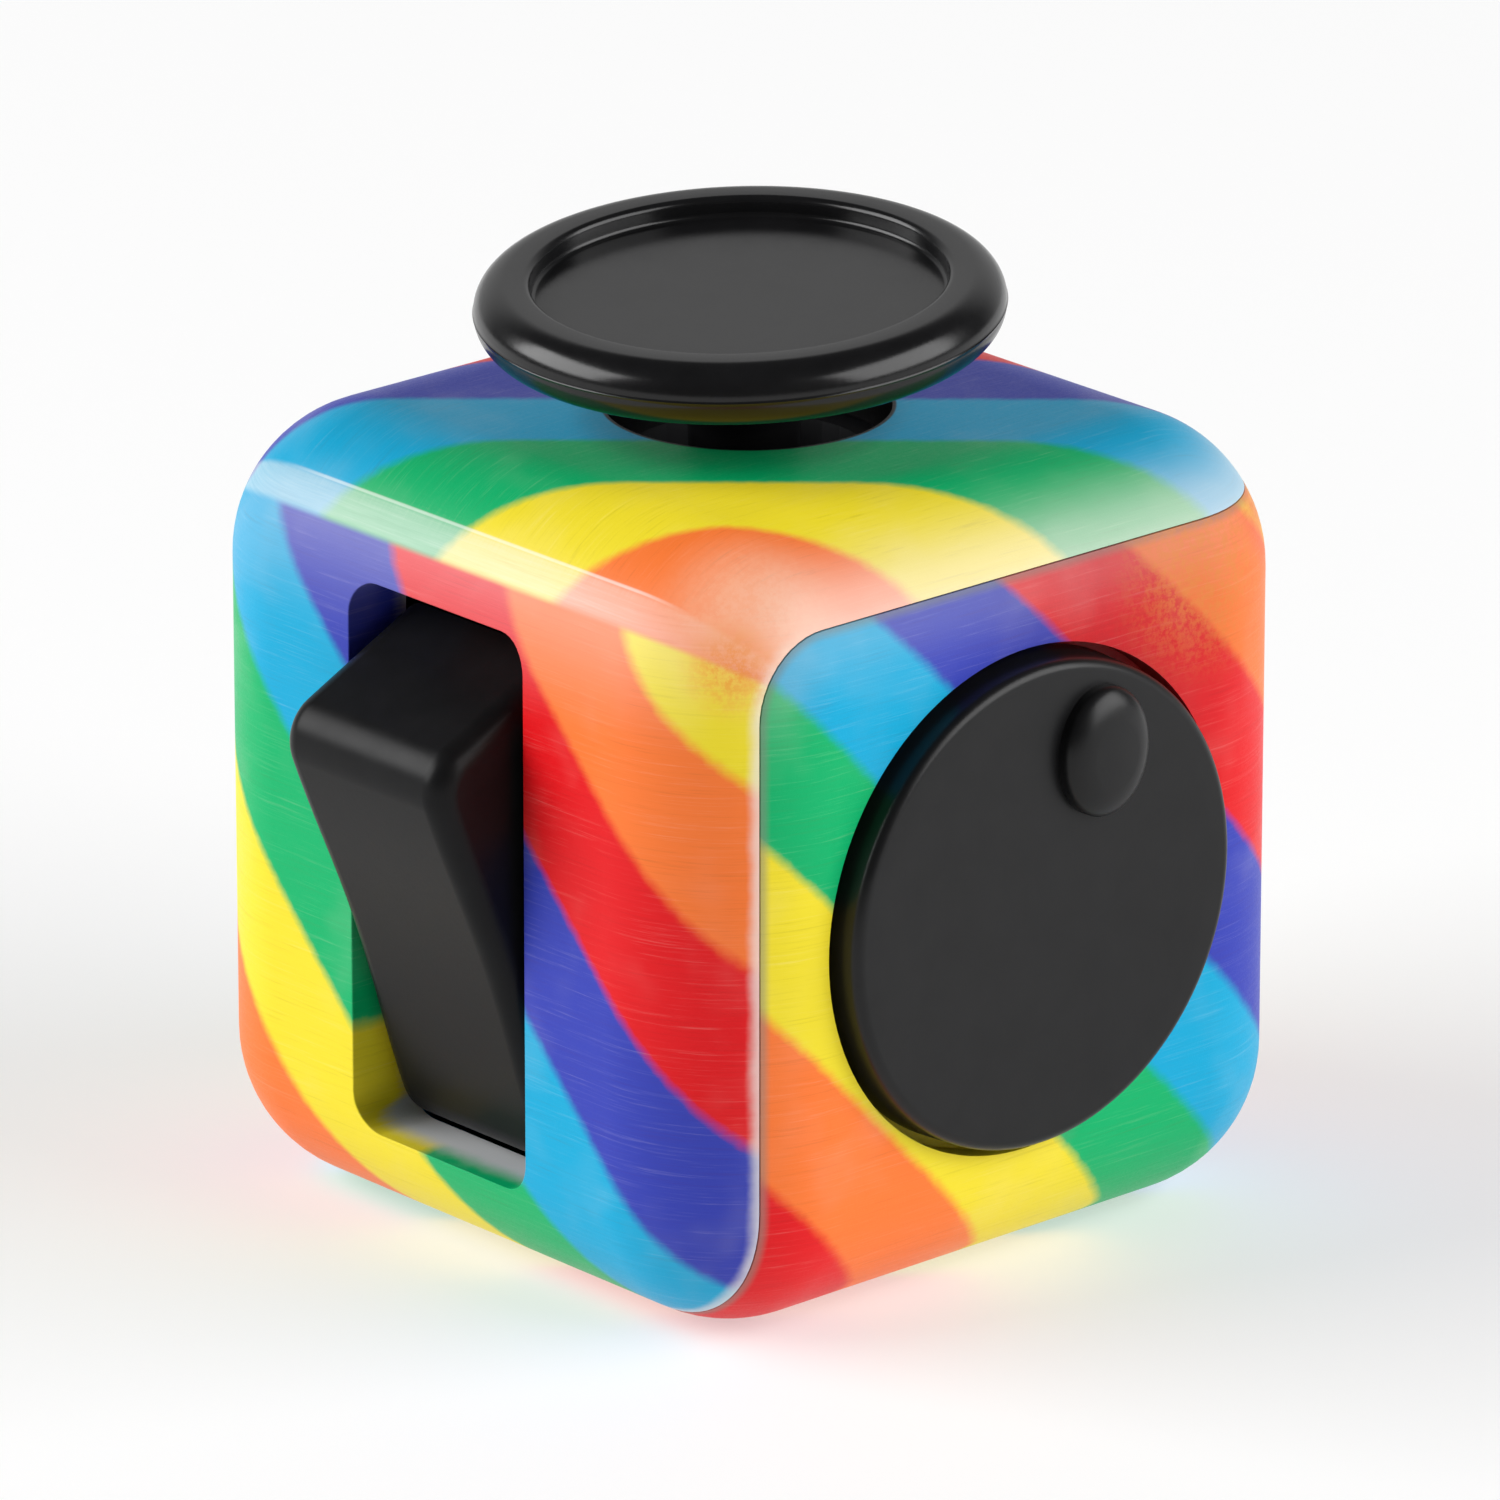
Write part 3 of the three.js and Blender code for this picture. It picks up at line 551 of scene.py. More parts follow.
    # The ink runs out two to three and a half millimetres down an opening's walls, and within one
    # and a half down the slot's lower wall. The depth is measured under the rounded cube's skin.
    folded = node(tree, "ShaderNodeVectorMath", {0: point}, operation="ABSOLUTE")
    past = node(tree, "ShaderNodeVectorMath", {0: folded.outputs[0], 1: (core,) * 3}, operation="SUBTRACT")
    curved = node(tree, "ShaderNodeVectorMath", {0: past.outputs[0], 1: (0.0,) * 3}, operation="MAXIMUM")
    reached = node(tree, "ShaderNodeVectorMath", {0: curved.outputs[0]}, operation="LENGTH")
    depth = add("SUBTRACT", sizes.edge_radius, reached.outputs["Value"])
    lower_wall = add("ramp", z, 1.0 - sizes.slot_half_height, 0.3 - sizes.slot_half_height, -1.8, 0.0)
    bare = add("ramp", add("ADD", add("MULTIPLY_ADD", scratch, 0.9, depth), lower_wall), 0.8, 2.1)
    # The thumb hollow underneath is printed all over.
    bare = add("MULTIPLY", bare, add("ramp", z, -14.4, -13.9))
    ink = add("blend", bare, ink, tuple(colours.base))
    # The wall of the stick's hole is painted black.
    middle = node(tree, "ShaderNodeVectorMath", {0: point, 1: (1.0, 1.0, 0.0)}, operation="MULTIPLY")
    spread = node(tree, "ShaderNodeVectorMath", {0: middle.outputs[0]}, operation="LENGTH").outputs["Value"]
    in_hole = add("ramp", spread, sizes.stick_hole + 0.2, sizes.stick_hole + 0.1)
    bored = add("MULTIPLY", in_hole, add("ramp", z, 11, 12))
    ink = add("blend", bored, ink, tuple(colours.black))
    tree.links.new(ink, shader.inputs["Base Color"])
    grain = add("noise", point, 9.0, 4.0, 0.7)
    height = add("MULTIPLY_ADD", scratch, 1.6, grain)
    bump = node(tree, "ShaderNodeBump", {"Strength": 0.3, "Distance": 0.00002, "Height": height})
    tree.links.new(bump.outputs[0], shader.inputs["Normal"])
    tree.links.new(add("ramp", grain, 0.2, 0.8, 0.34, 0.5), shader.inputs["Roughness"])
    shader.inputs["IOR"].default_value = 1.5
    shader.inputs["Specular IOR Level"].default_value = 0.18
    return material


def moulded_black_abs(name, gloss, dull, shine):
    """Black ABS, injection moulded: a dark skin with a faint flow mottle and a fine grain.

    A polished mould gives the stick its clear highlights. The rocker, the dial and the buttons come
    from duller ones and shine softly.
    """
    material, tree, shader = new_material(name)
    point = cube_millimetres(tree)
    mottle = node(
        tree, "ShaderNodeTexNoise", {"Vector": point, "Scale": 0.5, "Detail": 4.0, "Roughness": 0.65}
    )
    tint = node(
        tree,
        "ShaderNodeMix",
        {
            "Factor": mottle.outputs[0],
            "A": tuple(bpy.context.scene.fc_colours.black),
            "B": hex_colour("19191A"),
        },
        data_type="RGBA",
    )
    tree.links.new(tint.outputs["Result"], shader.inputs["Base Color"])
    skin = node(
        tree, "ShaderNodeTexNoise", {"Vector": point, "Scale": 7.0, "Detail": 5.0, "Roughness": 0.7}
    )
    marks = node(
        tree, "ShaderNodeMix", {0: 0.5, 2: skin.outputs[0], 3: mottle.outputs[0]}, data_type="FLOAT"
    )
    rough = node(
        tree,
        "ShaderNodeMapRange",
        {"Value": marks.outputs[0], "From Min": 0.3, "From Max": 0.7, "To Min": gloss, "To Max": dull},
    )
    tree.links.new(rough.outputs[0], shader.inputs["Roughness"])
    bump = node(tree, "ShaderNodeBump", {"Strength": 0.2, "Distance": 0.00001, "Height": skin.outputs[0]})
    tree.links.new(bump.outputs[0], shader.inputs["Normal"])
    shader.inputs["IOR"].default_value = 1.52
    shader.inputs["Specular IOR Level"].default_value = shine
    return material


def plain_material(name, colour, metallic, rough_low, rough_high, scale, strength):
    """A single-coloured finish whose gloss and skin vary with a grain, in marks per millimetre."""
    material, tree, shader = new_material(name)
    point = cube_millimetres(tree)
    grain = node(tree, "ShaderNodeTexNoise", {"Vector": point, "Scale": scale, "Detail": 4.0})
    tone = node(
        tree,
        "ShaderNodeMix",
        {
            "Factor": grain.outputs[0],
            "A": hex_colour(colour),
            "B": tuple(min(1.0, c * 1.25) for c in hex_colour(colour)),
        },
        data_type="RGBA",
    )
    tree.links.new(tone.outputs["Result"], shader.inputs["Base Color"])
    rough = node(
        tree,
        "ShaderNodeMapRange",
        {"Value": grain.outputs[0], "To Min": rough_low, "To Max": rough_high},
    )
    tree.links.new(rough.outputs[0], shader.inputs["Roughness"])
    bump = node(
        tree,
        "ShaderNodeBump",
        {"Strength": strength, "Distance": 0.00001, "Height": grain.outputs[0]},
    )
    tree.links.new(bump.outputs[0], shader.inputs["Normal"])
    shader.inputs["Metallic"].default_value = metallic
    return material


# Stripe fields: the axis out of the face, then the stripe count at the cube's middle and its rise
# for each millimetre along X, Y and Z. A stripe is about 5 mm wide and the colours repeat every six.
TOP_STRIPES = ("z", 4.877, -0.1419, 0.1276, 0.0)
FRONT_STRIPES = ("-y", 4.746, 0.1445, 0.0, 0.1334)
LEFT_STRIPES = ("-x", 4.54, 0.0, 0.1276, 0.165)
RIGHT_STRIPES = ("x", 4.234, 0.0, 0.1494, 0.1422)
BACK_STRIPES = ("y", 8.49, -0.1445, 0.0, 0.1334)
BOTTOM_STRIPES = ("-z", 4.17, -0.1445, 0.1494, 0.0)
UPPER_PRINTS = ((TOP_STRIPES, LEFT_STRIPES), (FRONT_STRIPES, LEFT_STRIPES))
LOWER_PRINTS = ((RIGHT_STRIPES, BACK_STRIPES, BOTTOM_STRIPES),)
BUTTONS = {
    "button_centre": (0, 0),
    "button_upper_front": (1, 1),
    "button_lower_front": (1, -1),
    "button_upper_back": (-1, 1),
    "button_lower_back": (-1, -1),
}


# ---------------------------------------------------------------- pieces


def screw_tools(face, screws, plate=None):
    """The posts that reach down to a face's backing plate, and the bores of its screws."""
    post_radius, bore_radius = 1.4, 0.8
    tools = []
    inside = CUBE_EDGE / 2 - bpy.context.scene.fc_sizes.wall
    for name in screws:
        first, second = (along(face, corner) for corner in centred(name))
        low, high = min(first[2], second[2]), max(first[2], second[2])
        middle = [(a + b) / 2 for a, b in zip(first, second)]
        if plate:
            top = max(along(face, corner)[2] for corner in centred(plate))
            post = bar(post_radius, top + 0.15, inside + 0.2, middle[0], middle[1], 32)
            tools.append(("UNION", place_face(post, face)))
        bore = bar(bore_radius, low - 1, high + 0.08, middle[0], middle[1], 24)
        tools.append(("DIFFERENCE", place_face(bore, face)))
    return tools


class FC_OT_shells(bpy.types.Operator):
    """Builds the two printed shells"""

    bl_idname = "fidget_cube.shells"
    bl_label = "Printed shells"

    def execute(self, context):
        """Carves both shells from one rounded cube and prints them."""
        sizes = context.scene.fc_sizes
        half = CUBE_EDGE / 2
        inside = half - sizes.wall
        seam = half - sizes.seam_inset
        # A cut runs this far past a surface, and a solid sinks this far into the wall it joins.
        past, sunk = 1.0, 0.3

        def cube(size, segments=20):
            corner = (size,) * 3
            return rounded_block([-c for c in corner], corner, sizes.edge_radius - (half - size), segments)

        def lower_region(grow):
            far = 60.0
            low = (-seam - grow, -seam - grow, -far)
            return rounded_block(low, (far, far, seam + grow), sizes.seam_inset + grow, 12)

        # A short tunnel behind the slot holds the rocker.
        tunnel_wall, tunnel_floor, slot_floor = 0.9, 13.5, 11.0
        tunnel = combine(
            rounded_prism(
                sizes.slot_half_width + tunnel_wall,
                sizes.slot_half_height + tunnel_wall,
                sizes.slot_corner + tunnel_wall,
                tunnel_floor,
                inside + sunk,
            ),
            [("DIFFERENCE", place_back(lower_region(sizes.seam_gap)))],
        )
        slot = rounded_prism(
            sizes.slot_half_width, sizes.slot_half_height, sizes.slot_corner, slot_floor, half + past
        )
        stick_hole = bar(sizes.stick_hole, inside - past, half + past, steps=96)
        upper_tools = [
            ("DIFFERENCE", cube(inside, 10)),
            ("DIFFERENCE", lower_region(sizes.seam_gap)),
            ("UNION", place_face(tunnel, "front")),
            ("DIFFERENCE", place_face(slot, "front")),
            ("DIFFERENCE", place_face(stick_hole, "top")),
        ]
        # The CAD box of a button is its flange's, which is 0.7 mm wider than the part that shows.
        button = (centred("button_centre")[1] - centred("button_centre")[0]).z / 2
        spread = centred("button_upper_front")[0].z - centred("button_centre")[0].z
        flange, button_play = 0.7, 0.25
        button_hole = button - flange + button_play
        for across, up in BUTTONS.values():
            hole = bar(button_hole, inside - past, half + past, across * spread, up * spread, 48)
            upper_tools.append(("DIFFERENCE", place_face(hole, "left")))
        upper_tools += screw_tools("top", ["joystick_screw_a", "joystick_screw_b"])
        upper_tools += screw_tools("front", ["rocker_screw_a", "rocker_screw_b"])
        upper_tools += screw_tools("left", ["button_screw_a", "button_screw_b"], "button_backing_plate")
        upper = combine(cube(half), upper_tools)
        self.soften(upper, sizes.lip, sizes.slot_lip)
        finish_piece(
            "upper_shell",
            upper,
            cube_row(),
            "cube",
            uv_printed_abs("uv_printed_abs_upper", UPPER_PRINTS),
            ["shell_top_front_left"],
        )

        roller_play, window_play, ball_play = 0.3, 0.4, 0.15
        roller_low, roller_high = centred("roller_lower")
        top_high = centred("roller_upper")[1]
        axle = (roller_low + roller_high) / 2
        window_radius = (roller_high.x - roller_low.x) / 2 + roller_play
        window = bar(window_radius, roller_low.z - window_play, top_high.z + window_play)
        bmesh.ops.translate(window, vec=(axle.x, axle.y, 0), verts=window.verts)
        ball_low, ball_high = centred("roll_ball")
        ball = bmesh.new()
        bmesh.ops.create_uvsphere(
            ball,
            u_segments=64,
            v_segments=40,
            radius=(ball_high.x - ball_low.x) / 2 + ball_play,
            matrix=Matrix.Translation((ball_low + ball_high) / 2),
        )
        hollow_radius, hollow_depth, hollow_wall = 8.2, 2.0, 0.8
        sphere = (hollow_radius**2 + hollow_depth**2) / (2 * hollow_depth)
        hollow = bmesh.new()
        bmesh.ops.create_uvsphere(
            hollow,
            u_segments=96,
            v_segments=96,
            radius=sphere,
            matrix=Matrix.Translation((0, 0, -half - sphere + hollow_depth)),
        )
        dial_boss = bar(9.8, inside - 1.1, inside + sunk)
        hollow_boss = bar(hollow_radius + hollow_wall, inside - hollow_depth, inside + sunk)
        pocket = bar(sizes.pocket_radius, half - sizes.pocket_depth, half + 2, steps=128)
        shaft_bore = bar(3.06, 12.0, half)
        lower = combine(
            cube(half),
            [
                ("DIFFERENCE", cube(inside, 10)),
                ("INTERSECT", lower_region(0)),
                ("UNION", place_face(dial_boss, "right")),
                ("UNION", place_face(hollow_boss, "bottom")),
                ("DIFFERENCE", place_face(pocket, "right")),
                ("DIFFERENCE", place_face(shaft_bore, "right")),
                ("DIFFERENCE", window),
                ("DIFFERENCE", ball),
                ("DIFFERENCE", hollow),
                *screw_tools("right", ["dial_click_screw"]),
                *screw_tools("back", ["roll_screw_a", "roll_screw_b"], "roll_backing_plate"),
            ],
        )
        self.soften(lower, sizes.lip, sizes.lip)
        finish_piece(
            "lower_shell",
            lower,
            cube_row(),
            "cube",
            uv_printed_abs("uv_printed_abs_lower", LOWER_PRINTS),
            ["shell_right_back_bottom"],
        )
        return {"FINISHED"}

    def soften(self, bm, offset, slot_offset):
        """Rounds the sharp edges that show from outside, the slot's most of all."""
        # Edges less than this far inside the cube's skin show from outside.
        limit = CUBE_EDGE / 2 - 1.7
        slot_width, slot_height = 6, 12.2
        shown = [
            e
            for e in sharp_edges(bm, 35)
            if all(max(abs(c) for c in v.co) > limit for v in e.verts)
        ]
        slot = [
            e
            for e in shown
            if all(
                v.co.y < -limit and abs(v.co.x) < slot_width and abs(v.co.z) < slot_height
                for v in e.verts
            )
        ]
        others = [e for e in shown if e not in slot]
        for edges, radius, steps in ((slot, slot_offset, 5), (others, offset, 3)):
            if edges:
                round_edges(bm, [e for e in edges if e.is_valid], radius, steps)
        bmesh.ops.remove_doubles(bm, verts=bm.verts, dist=MERGE)


class FC_OT_stick(bpy.types.Operator):
    """Builds the thumb stick's cap and stem"""

    bl_idname = "fidget_cube.stick"
    bl_label = "Thumb stick"

    def execute(self, context):
        """Turns the cap and the stem, leaning as the stick rests."""
        half = CUBE_EDGE / 2
        black = moulded_black_abs("polished_black_abs", 0.16, 0.26, 0.3)
        radius, rim, top = 10.61, 1.29, half + 5.76
        recess, floor = 8.3, half + 4.91
        under = half + 2.1
        rim_r, rim_z = radius - rim, top - rim
        pivot = half - 6.3
        lean = (
            Matrix.Translation((0, 0, pivot))
            @ Matrix.Rotation(math.radians(3.9), 4, "X")
            @ Matrix.Rotation(math.radians(1.77), 4, "Y")
            @ Matrix.Translation((0, 0, -pivot))
        )
        hub, hub_edge, hub_rise = 2.9, 3.15, 0.12
        parting, land, fillet, fillet_in = 0.03, 0.3, 0.22, 0.18
        profile = [(0, under), (hub, under), (hub_edge, under + hub_rise)]
        profile += arc(rim_r, rim_z, rim, -74, -2, 16)
        # The mould's parting line runs round the widest part of the rim.
        profile += [(radius + parting, rim_z)]
        profile += arc(rim_r, rim_z, rim, 2, 90, 22)
        # The rim's top is a narrow flat land, and its inner edge is soft.
        profile += arc(recess + land, top - land, land, 90, 165, 7)
        profile += arc(recess - fillet_in, floor + fillet, fillet, 0, -90, 5)
        profile += [(0, floor)]
        cap = turned(profile, 160)
        place = cube_row() @ lean
        finish_piece("joystick_cap", cap, place, "stick", black, ["joystick_cap"])
        # The stem is a ball at the pivot, cut flat below, with a neck up to the cap.
        ball, flat, flat_low, neck, neck_low, gap = 2.4, 1.0, 2.2, 2.25, 1.4, 0.1
        stem = turned(
            [(0, pivot - flat_low), (flat, pivot - flat_low)]
            + arc(0, pivot, ball, -66, 20, 12)
            + [(neck, pivot + neck_low), (neck, under - gap), (0, under - gap)],
            64,
        )
        finish_piece("joystick_stem", stem, place, "stick", black, ["joystick_stem"])
        return {"FINISHED"}


class FC_OT_rocker(bpy.types.Operator):
    """Builds the rocker switch"""

    bl_idname = "fidget_cube.rocker"
    bl_label = "Rocker switch"

    def execute(self, context):
        """Draws the rocker's side, gives it its width and rounds its edges."""
        half = CUBE_EDGE / 2
        pivot, length, width, out, shoulder = half - 5.8, 10.15, 9.7, 7.3, 8.1
        lean, taper = math.radians(20.1), math.radians(8.8)
        flare = math.tan(taper) * shoulder
        low = out - shoulder
        ridge, hollow, face_steps = 2.0, 0.3, 16
        outline = arc(length - ridge, out - ridge, ridge, 9, 90, 12)
        # The face sinks a little between its two ridges.
        flat = length - ridge
        for i in range(1, face_steps):
            sink = hollow * math.sin(math.pi * i / face_steps) ** 2
            outline.append((flat - 2 * flat * i / face_steps, out - sink))
        outline += arc(ridge - length, out - ridge, ridge, 90, 171, 12)
        # The back is flat, with cut corners and a foot that reaches past the pin.
        corner, corner_rise, step = 0.6, 0.3, 0.8
        foot, foot_tip, foot_low = 2.4, 1.6, -2.0
        outline += [(-length - flare + corner, low + corner_rise), (-length + step, low), (-foot, low)]
        outline += [(-foot_tip, foot_low), (foot_tip, foot_low), (foot, low)]
        outline += [(length - step, low), (length + flare - corner, low + corner_rise)]
        side_round, side_steps = 1.05, 8
        bm = bmesh.new()
        verts = [bm.verts.new((side_round - width / 2, up, z)) for up, z in outline]
        side = bm.faces.new(verts)
        made = bmesh.ops.extrude_face_region(bm, geom=[side])
        moved = [v for v in made["geom"] if isinstance(v, bmesh.types.BMVert)]
        bmesh.ops.translate(bm, vec=(width - 2 * side_round, 0, 0), verts=moved)
        bmesh.ops.recalc_face_normals(bm, faces=bm.faces)
        ends = [f for f in bm.faces if abs(f.normal.x) > 0.99]
        turns = [math.radians(90 * i / side_steps) for i in range(side_steps + 1)]
        for start, end in zip(turns, turns[1:]):
            bmesh.ops.inset_region(
                bm,
                faces=ends,
                thickness=side_round * (math.cos(start) - math.cos(end)),
                depth=side_round * (math.sin(end) - math.sin(start)),
                use_boundary=True,
                use_even_offset=True,
            )
        tilt = Matrix.Translation((0, 0, pivot)) @ Matrix.Rotation(lean, 4, "X")
        finish_piece(
            "rocker_switch",
            bm,
            face_matrix("front") @ tilt,
            "rocker",
            moulded_black_abs("glossed_black_abs", 0.3, 0.4, 0.11),
            ["rocker_switch"],
        )
        return {"FINISHED"}


class FC_OT_dial(bpy.types.Operator):
    """Builds the dial with its finger nub"""

    bl_idname = "fidget_cube.dial"
    bl_label = "Dial"

    def execute(self, context):
        """Turns the dial and joins the oval nub to it."""
        half = CUBE_EDGE / 2
        radius, top, base, edge = 10.15, half + 1.15, half - 1.1, 0.45
        neck, neck_low, shaft, shaft_low = 2.4, 12.3, 3.0, 13.5
        profile = [(0, neck_low), (neck, neck_low), (neck, shaft_low), (shaft, shaft_low)]
        profile += [(shaft, base), (radius, base)]
        profile += arc(radius - 0.1 - edge, top - edge, edge, 0, 90, 8) + [(radius - 1.5, top), (0, top)]
        disc = turned(profile, 160)
        # The nub is turned about one millimetre wide and high, then stretched to an oval.
        nub_place, nub_size = (2.75, 5.95, top), (2.0, 2.45, 1.1, 1)
        nub_profile = [(0, -0.4), (1.12, -0.4), (1.1, 0.0)] + arc(0.38, 0.28, 0.72, -5, 76, 12) + [(0, 1.0)]
        nub = turned(nub_profile, 64)
        bmesh.ops.transform(
            nub, matrix=Matrix.Translation(nub_place) @ Matrix.Diagonal(nub_size), verts=nub.verts
        )
        dial = combine(disc, [("UNION", nub)])
        finish_piece(
            "dial_knob",
            dial,
            face_matrix("right"),
            "dial",
            moulded_black_abs("satin_black_abs", 0.28, 0.38, 0.25),
            ["dial_knob"],
        )
        return {"FINISHED"}


class FC_OT_buttons(bpy.types.Operator):
    """Builds the push buttons"""

    bl_idname = "fidget_cube.buttons"
    bl_label = "Push buttons"

    def execute(self, context):
        """Turns one button for each place of the dice pattern."""
        half = CUBE_EDGE / 2
        low = centred("button_centre")[0]
        spread = centred("button_upper_front")[0].z - low.z
        top = half + 1.0
        flange, flange_low, flange_top, radius, edge = 3.3, 13.9, 14.55, 2.6, 0.6
        for name, (across, up) in BUTTONS.items():
            button = turned(
                [(0, flange_low), (flange, flange_low), (flange, flange_top), (radius, flange_top)]
                + arc(radius - edge, top - edge, edge, 0, 80, 8)
                + [(1.2, top + 0.02), (0, top + 0.05)],
                72,
            )
            bmesh.ops.translate(button, vec=(across * spread, up * spread, 0), verts=button.verts)
            finish_piece(
                name,
                button,
                face_matrix("left"),
                name + "_body",
                bpy.data.materials["satin_black_abs"],
                [name],
            )
        return {"FINISHED"}


class FC_OT_rollers(bpy.types.Operator):
    """Builds the toothed rollers and the ball at the back"""

    bl_idname = "fidget_cube.rollers"
    bl_label = "Rollers and ball"

    def execute(self, context):
        """Extrudes each fluted wheel, softens its rims and adds the ball."""
        # Turned and plated steel: bright, with fine tool marks that spread the highlights.
        steel = plain_material("turned_bright_steel", "A9ACB0", 1.0, 0.18, 0.34, 8.0, 0.15)
        teeth, flute, rim, bore = 16, 0.4, 0.25, 0.85
        for name in ("roller_lower", "roller_middle", "roller_upper"):
            low, high = centred(name)
            radius = (high.x - low.x) / 2
            bm = bmesh.new()
            made = bmesh.ops.create_circle(bm, cap_ends=True, segments=teeth * 12, radius=radius - rim)
            for vert in made["verts"]:
                groove = max(0.0, math.cos(teeth * math.atan2(vert.co.y, vert.co.x))) ** 2
                vert.co *= 1 - flute * groove / radius
            made = bmesh.ops.extrude_face_region(bm, geom=bm.faces[:])
            top = [v for v in made["geom"] if isinstance(v, bmesh.types.BMVert)]
            bmesh.ops.translate(bm, vec=(0, 0, high.z - low.z), verts=top)
            bmesh.ops.recalc_face_normals(bm, faces=bm.faces)
            ends = [f for f in bm.faces if abs(f.normal.z) > 0.99]
            sides = [f for f in bm.faces if f not in ends]
            bmesh.ops.inset_region(bm, faces=sides, thickness=rim, depth=rim, use_boundary=True)
            wheel = combine(bm, [("DIFFERENCE", bar(bore, -1, high.z - low.z + 1, steps=48))])
            place = ((low.x + high.x) / 2, (low.y + high.y) / 2, low.z)
            bmesh.ops.translate(wheel, vec=place, verts=wheel.verts)
            finish_piece(name, wheel, cube_row(), name + "_body", steel, [name])
        low, high = centred("roll_ball")
        ball = bmesh.new()
        middle = Matrix.Translation((low + high) / 2)
        bmesh.ops.create_uvsphere(
            ball, u_segments=96, v_segments=48, radius=(high.x - low.x) / 2, matrix=middle
        )
        # Ground and polished bearing steel: nearly a mirror.
        polished = plain_material("polished_bearing_steel", "B4B7BA", 1.0, 0.08, 0.16, 5.0, 0.05)
        finish_piece("roll_ball", ball, cube_row(), "ball_body", polished, ["roll_ball"])
        return {"FINISHED"}


class FC_OT_inner(bpy.types.Operator):
    """Gives the pieces carried over from the CAD model their finishes"""

    bl_idname = "fidget_cube.inner"
    bl_label = "Inner pieces"

    def execute(self, context):
        """Sets each carried-over node's material by what it is made of."""
        # Moulded nylon is dull, drawn wire has a soft metal shine, and silicone has next to none.
        finishes = {
            "inner_plastic": plain_material("moulded_grey_nylon", "2A2B2E", 0.0, 0.45, 0.65, 6.0, 0.2),
            "steel": bpy.data.materials["turned_bright_steel"],
            "spring_steel": plain_material("drawn_spring_steel", "7C8086", 1.0, 0.25, 0.45, 10.0, 0.2),
            "silicone": plain_material("moulded_silicone", "6A6E72", 0.0, 0.6, 0.8, 5.0, 0.2),
            "black_plastic": bpy.data.materials["satin_black_abs"],
        }
        slots = {s["node"]: s["material_slot"] for s in frame["record"]["subparts"]}
        for name, obj in frame["nodes"].items():
            if obj.hide_render:
                continue
            obj.data.materials.clear()
            obj.data.materials.append(finishes[slots[name]])
        return {"FINISHED"}


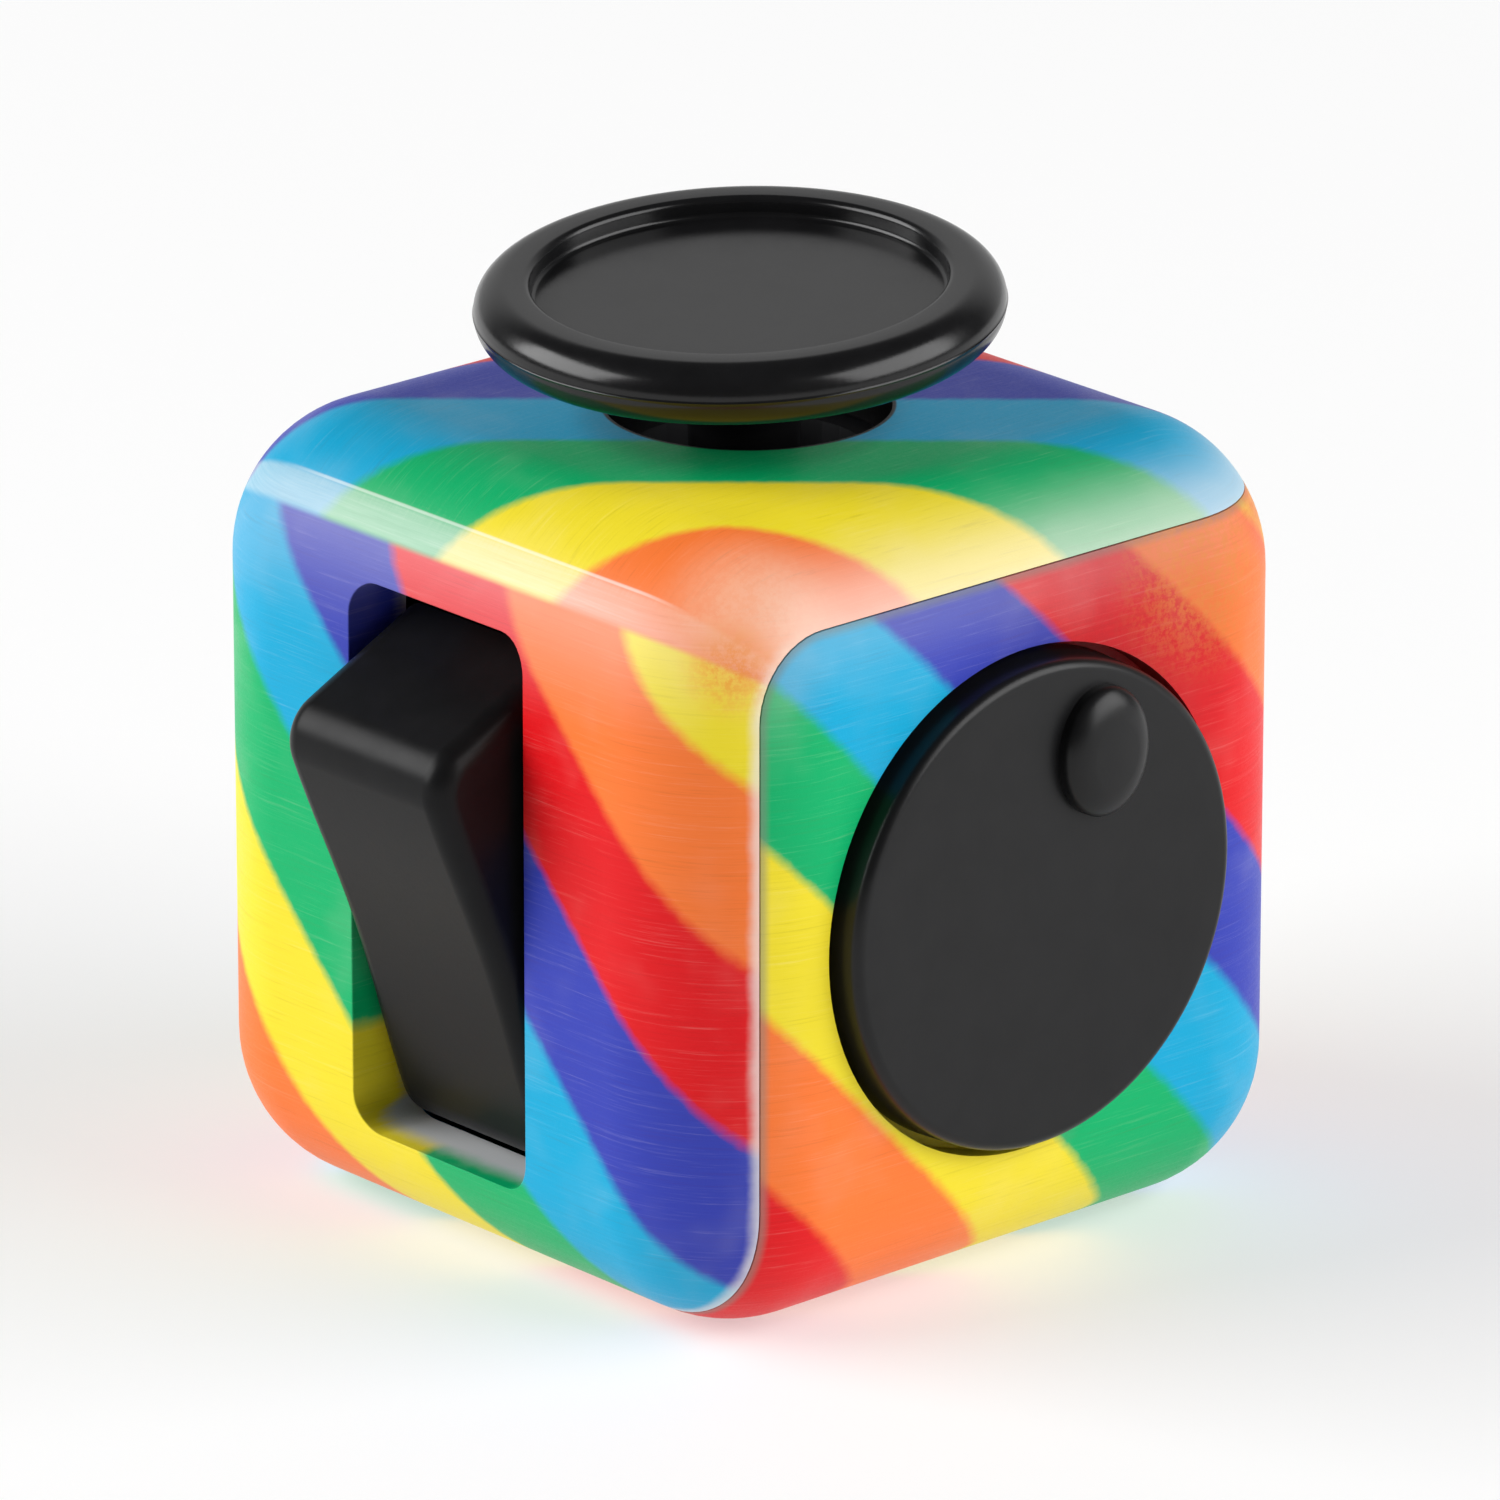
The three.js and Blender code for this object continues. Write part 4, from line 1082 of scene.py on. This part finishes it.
class FC_OT_stage(bpy.types.Operator):
    """Sets the floor, the studio lights and the camera"""

    bl_idname = "fidget_cube.stage"
    bl_label = "Stage"

    def execute(self, context):
        """Makes a pale floor, soft panels of light and the camera."""
        scene = context.scene
        scene.view_settings.view_transform = "Standard"
        bm = bmesh.new()
        bmesh.ops.create_grid(bm, x_segments=1, y_segments=1, size=3.0)
        floor = mesh_object("floor", bm)
        # A dull opal acrylic sheet, lit from below so that it stays white in the shadows.
        material, tree, shader = new_material("lit_opal_acrylic")
        shader.inputs["Base Color"].default_value = hex_colour("BCBCBC")
        shader.inputs["Roughness"].default_value = 0.9
        shader.inputs["Emission Color"].default_value = (1, 1, 1, 1)
        shader.inputs["Emission Strength"].default_value = 0.46
        floor.data.materials.append(material)

        # White to look at, the room lights the cube as a dim studio does: a pale sweep stands
        # behind it up to about 30 degrees, and the rest of the room is dark.
        world = bpy.data.worlds.new("pale sweep in a dim room")
        world.use_nodes = True
        tree = world.node_tree
        tree.nodes.clear()
        way = node(tree, "ShaderNodeTexCoord").outputs["Generated"]
        sweep_way = (-0.7463, 0.6656, 0.0)
        ahead = node(tree, "ShaderNodeVectorMath", {0: way, 1: sweep_way}, operation="DOT_PRODUCT")
        rise = node(tree, "ShaderNodeSeparateXYZ", {"Vector": way})
        behind = node(
            tree,
            "ShaderNodeMapRange",
            {"Value": ahead.outputs["Value"], "From Min": 0.55, "From Max": 0.85},
            interpolation_type="SMOOTHSTEP",
        )
        sweep = node(
            tree,
            "ShaderNodeMapRange",
            {"Value": rise.outputs["Z"], "From Min": 0.68, "From Max": 0.5},
            interpolation_type="SMOOTHSTEP",
        )
        pale = node(
            tree, "ShaderNodeMath", {0: behind.outputs[0], 1: sweep.outputs[0]}, operation="MULTIPLY"
        )
        level = node(tree, "ShaderNodeMapRange", {"Value": pale.outputs[0], "To Min": 0.05, "To Max": 0.62})
        seen = node(tree, "ShaderNodeLightPath")
        shown = node(
            tree,
            "ShaderNodeMath",
            {0: seen.outputs["Is Camera Ray"], 1: level.outputs[0]},
            operation="MAXIMUM",
        )
        sky = node(tree, "ShaderNodeBackground", {"Color": (1, 1, 1, 1), "Strength": shown.outputs[0]})
        node(tree, "ShaderNodeOutputWorld", {"Surface": sky.outputs[0]})
        scene.world = world

        azimuth, elevation, distance = math.radians(48.271), math.radians(19.845), 546.35
        right = Vector((math.cos(azimuth), math.sin(azimuth), 0))
        away = Vector((-math.sin(azimuth), math.cos(azimuth), 0))
        # Each soft box: bearing from straight ahead, rise, width and height in metres, watts.
        reach = 1.5
        boxes = [
            ("left soft box", -93, 28, 1.30, 0.90, 27.0),
            ("right soft box", 106, 28, 1.50, 1.10, 26.0),
        ]
        for name, bearing, rise_angle, width, height, watts in boxes:
            light = bpy.data.lights.new(name, "AREA")
            light.shape = "RECTANGLE"
            light.size = width
            light.size_y = height
            light.energy = watts
            lamp = bpy.data.objects.new(name, light)
            scene.collection.objects.link(lamp)
            turn, lift = math.radians(bearing), math.radians(rise_angle)
            way_out = (away * math.cos(turn) + right * math.sin(turn)) * math.cos(lift)
            way_out.z = math.sin(lift)
            lamp.location = CENTRE + way_out * reach
            lamp.rotation_euler = (-way_out).to_track_quat("-Z", "Y").to_euler()

        back = Vector(
            (
                math.sin(azimuth) * math.cos(elevation),
                -math.cos(azimuth) * math.cos(elevation),
                math.sin(elevation),
            )
        )
        up = back.cross(right)
        camera = bpy.data.cameras.new("camera")
        camera.lens = 325.76
        camera.sensor_width = 36
        camera.clip_end = 10
        eye = bpy.data.objects.new("camera", camera)
        scene.collection.objects.link(eye)
        eye.location = CENTRE + back * distance * MM
        aim_right, aim_up = 0.066, 1.753
        aim = CENTRE + (right * aim_right + up * aim_up) * MM
        eye.rotation_euler = (aim - eye.location).to_track_quat("-Z", "Y").to_euler()
        scene.camera = eye
        return {"FINISHED"}


STEPS = (
    FC_OT_shells,
    FC_OT_stick,
    FC_OT_rocker,
    FC_OT_dial,
    FC_OT_buttons,
    FC_OT_rollers,
    FC_OT_inner,
    FC_OT_stage,
)


class FC_PT_panel(bpy.types.Panel):
    """Lists the cube's pieces in the sidebar"""

    bl_idname = "FC_PT_panel"
    bl_label = "Fidget Cube"
    bl_space_type = "VIEW_3D"
    bl_region_type = "UI"
    bl_category = "Fidget Cube"

    def draw(self, context):
        """Shows the sizes, the colours and one button for each step."""
        for group in (context.scene.fc_sizes, context.scene.fc_colours):
            for key in group.__annotations__:
                self.layout.prop(group, key)
        for step in STEPS:
            self.layout.operator(step.bl_idname)


CLASSES = (FC_CubeSizes, FC_Colours, *STEPS, FC_PT_panel)


def register():
    """Registers the classes and their settings."""
    for cls in CLASSES:
        bpy.utils.register_class(cls)
    bpy.types.Scene.fc_sizes = PointerProperty(type=FC_CubeSizes)
    bpy.types.Scene.fc_colours = PointerProperty(type=FC_Colours)


def unregister():
    """Removes the settings and the classes."""
    del bpy.types.Scene.fc_colours
    del bpy.types.Scene.fc_sizes
    for cls in reversed(CLASSES):
        bpy.utils.unregister_class(cls)


def main():
    """Builds everything in order."""
    register()
    for step in STEPS:
        group, name = step.bl_idname.split(".")
        getattr(getattr(bpy.ops, group), name)()


if __name__ == "__main__":
    main()
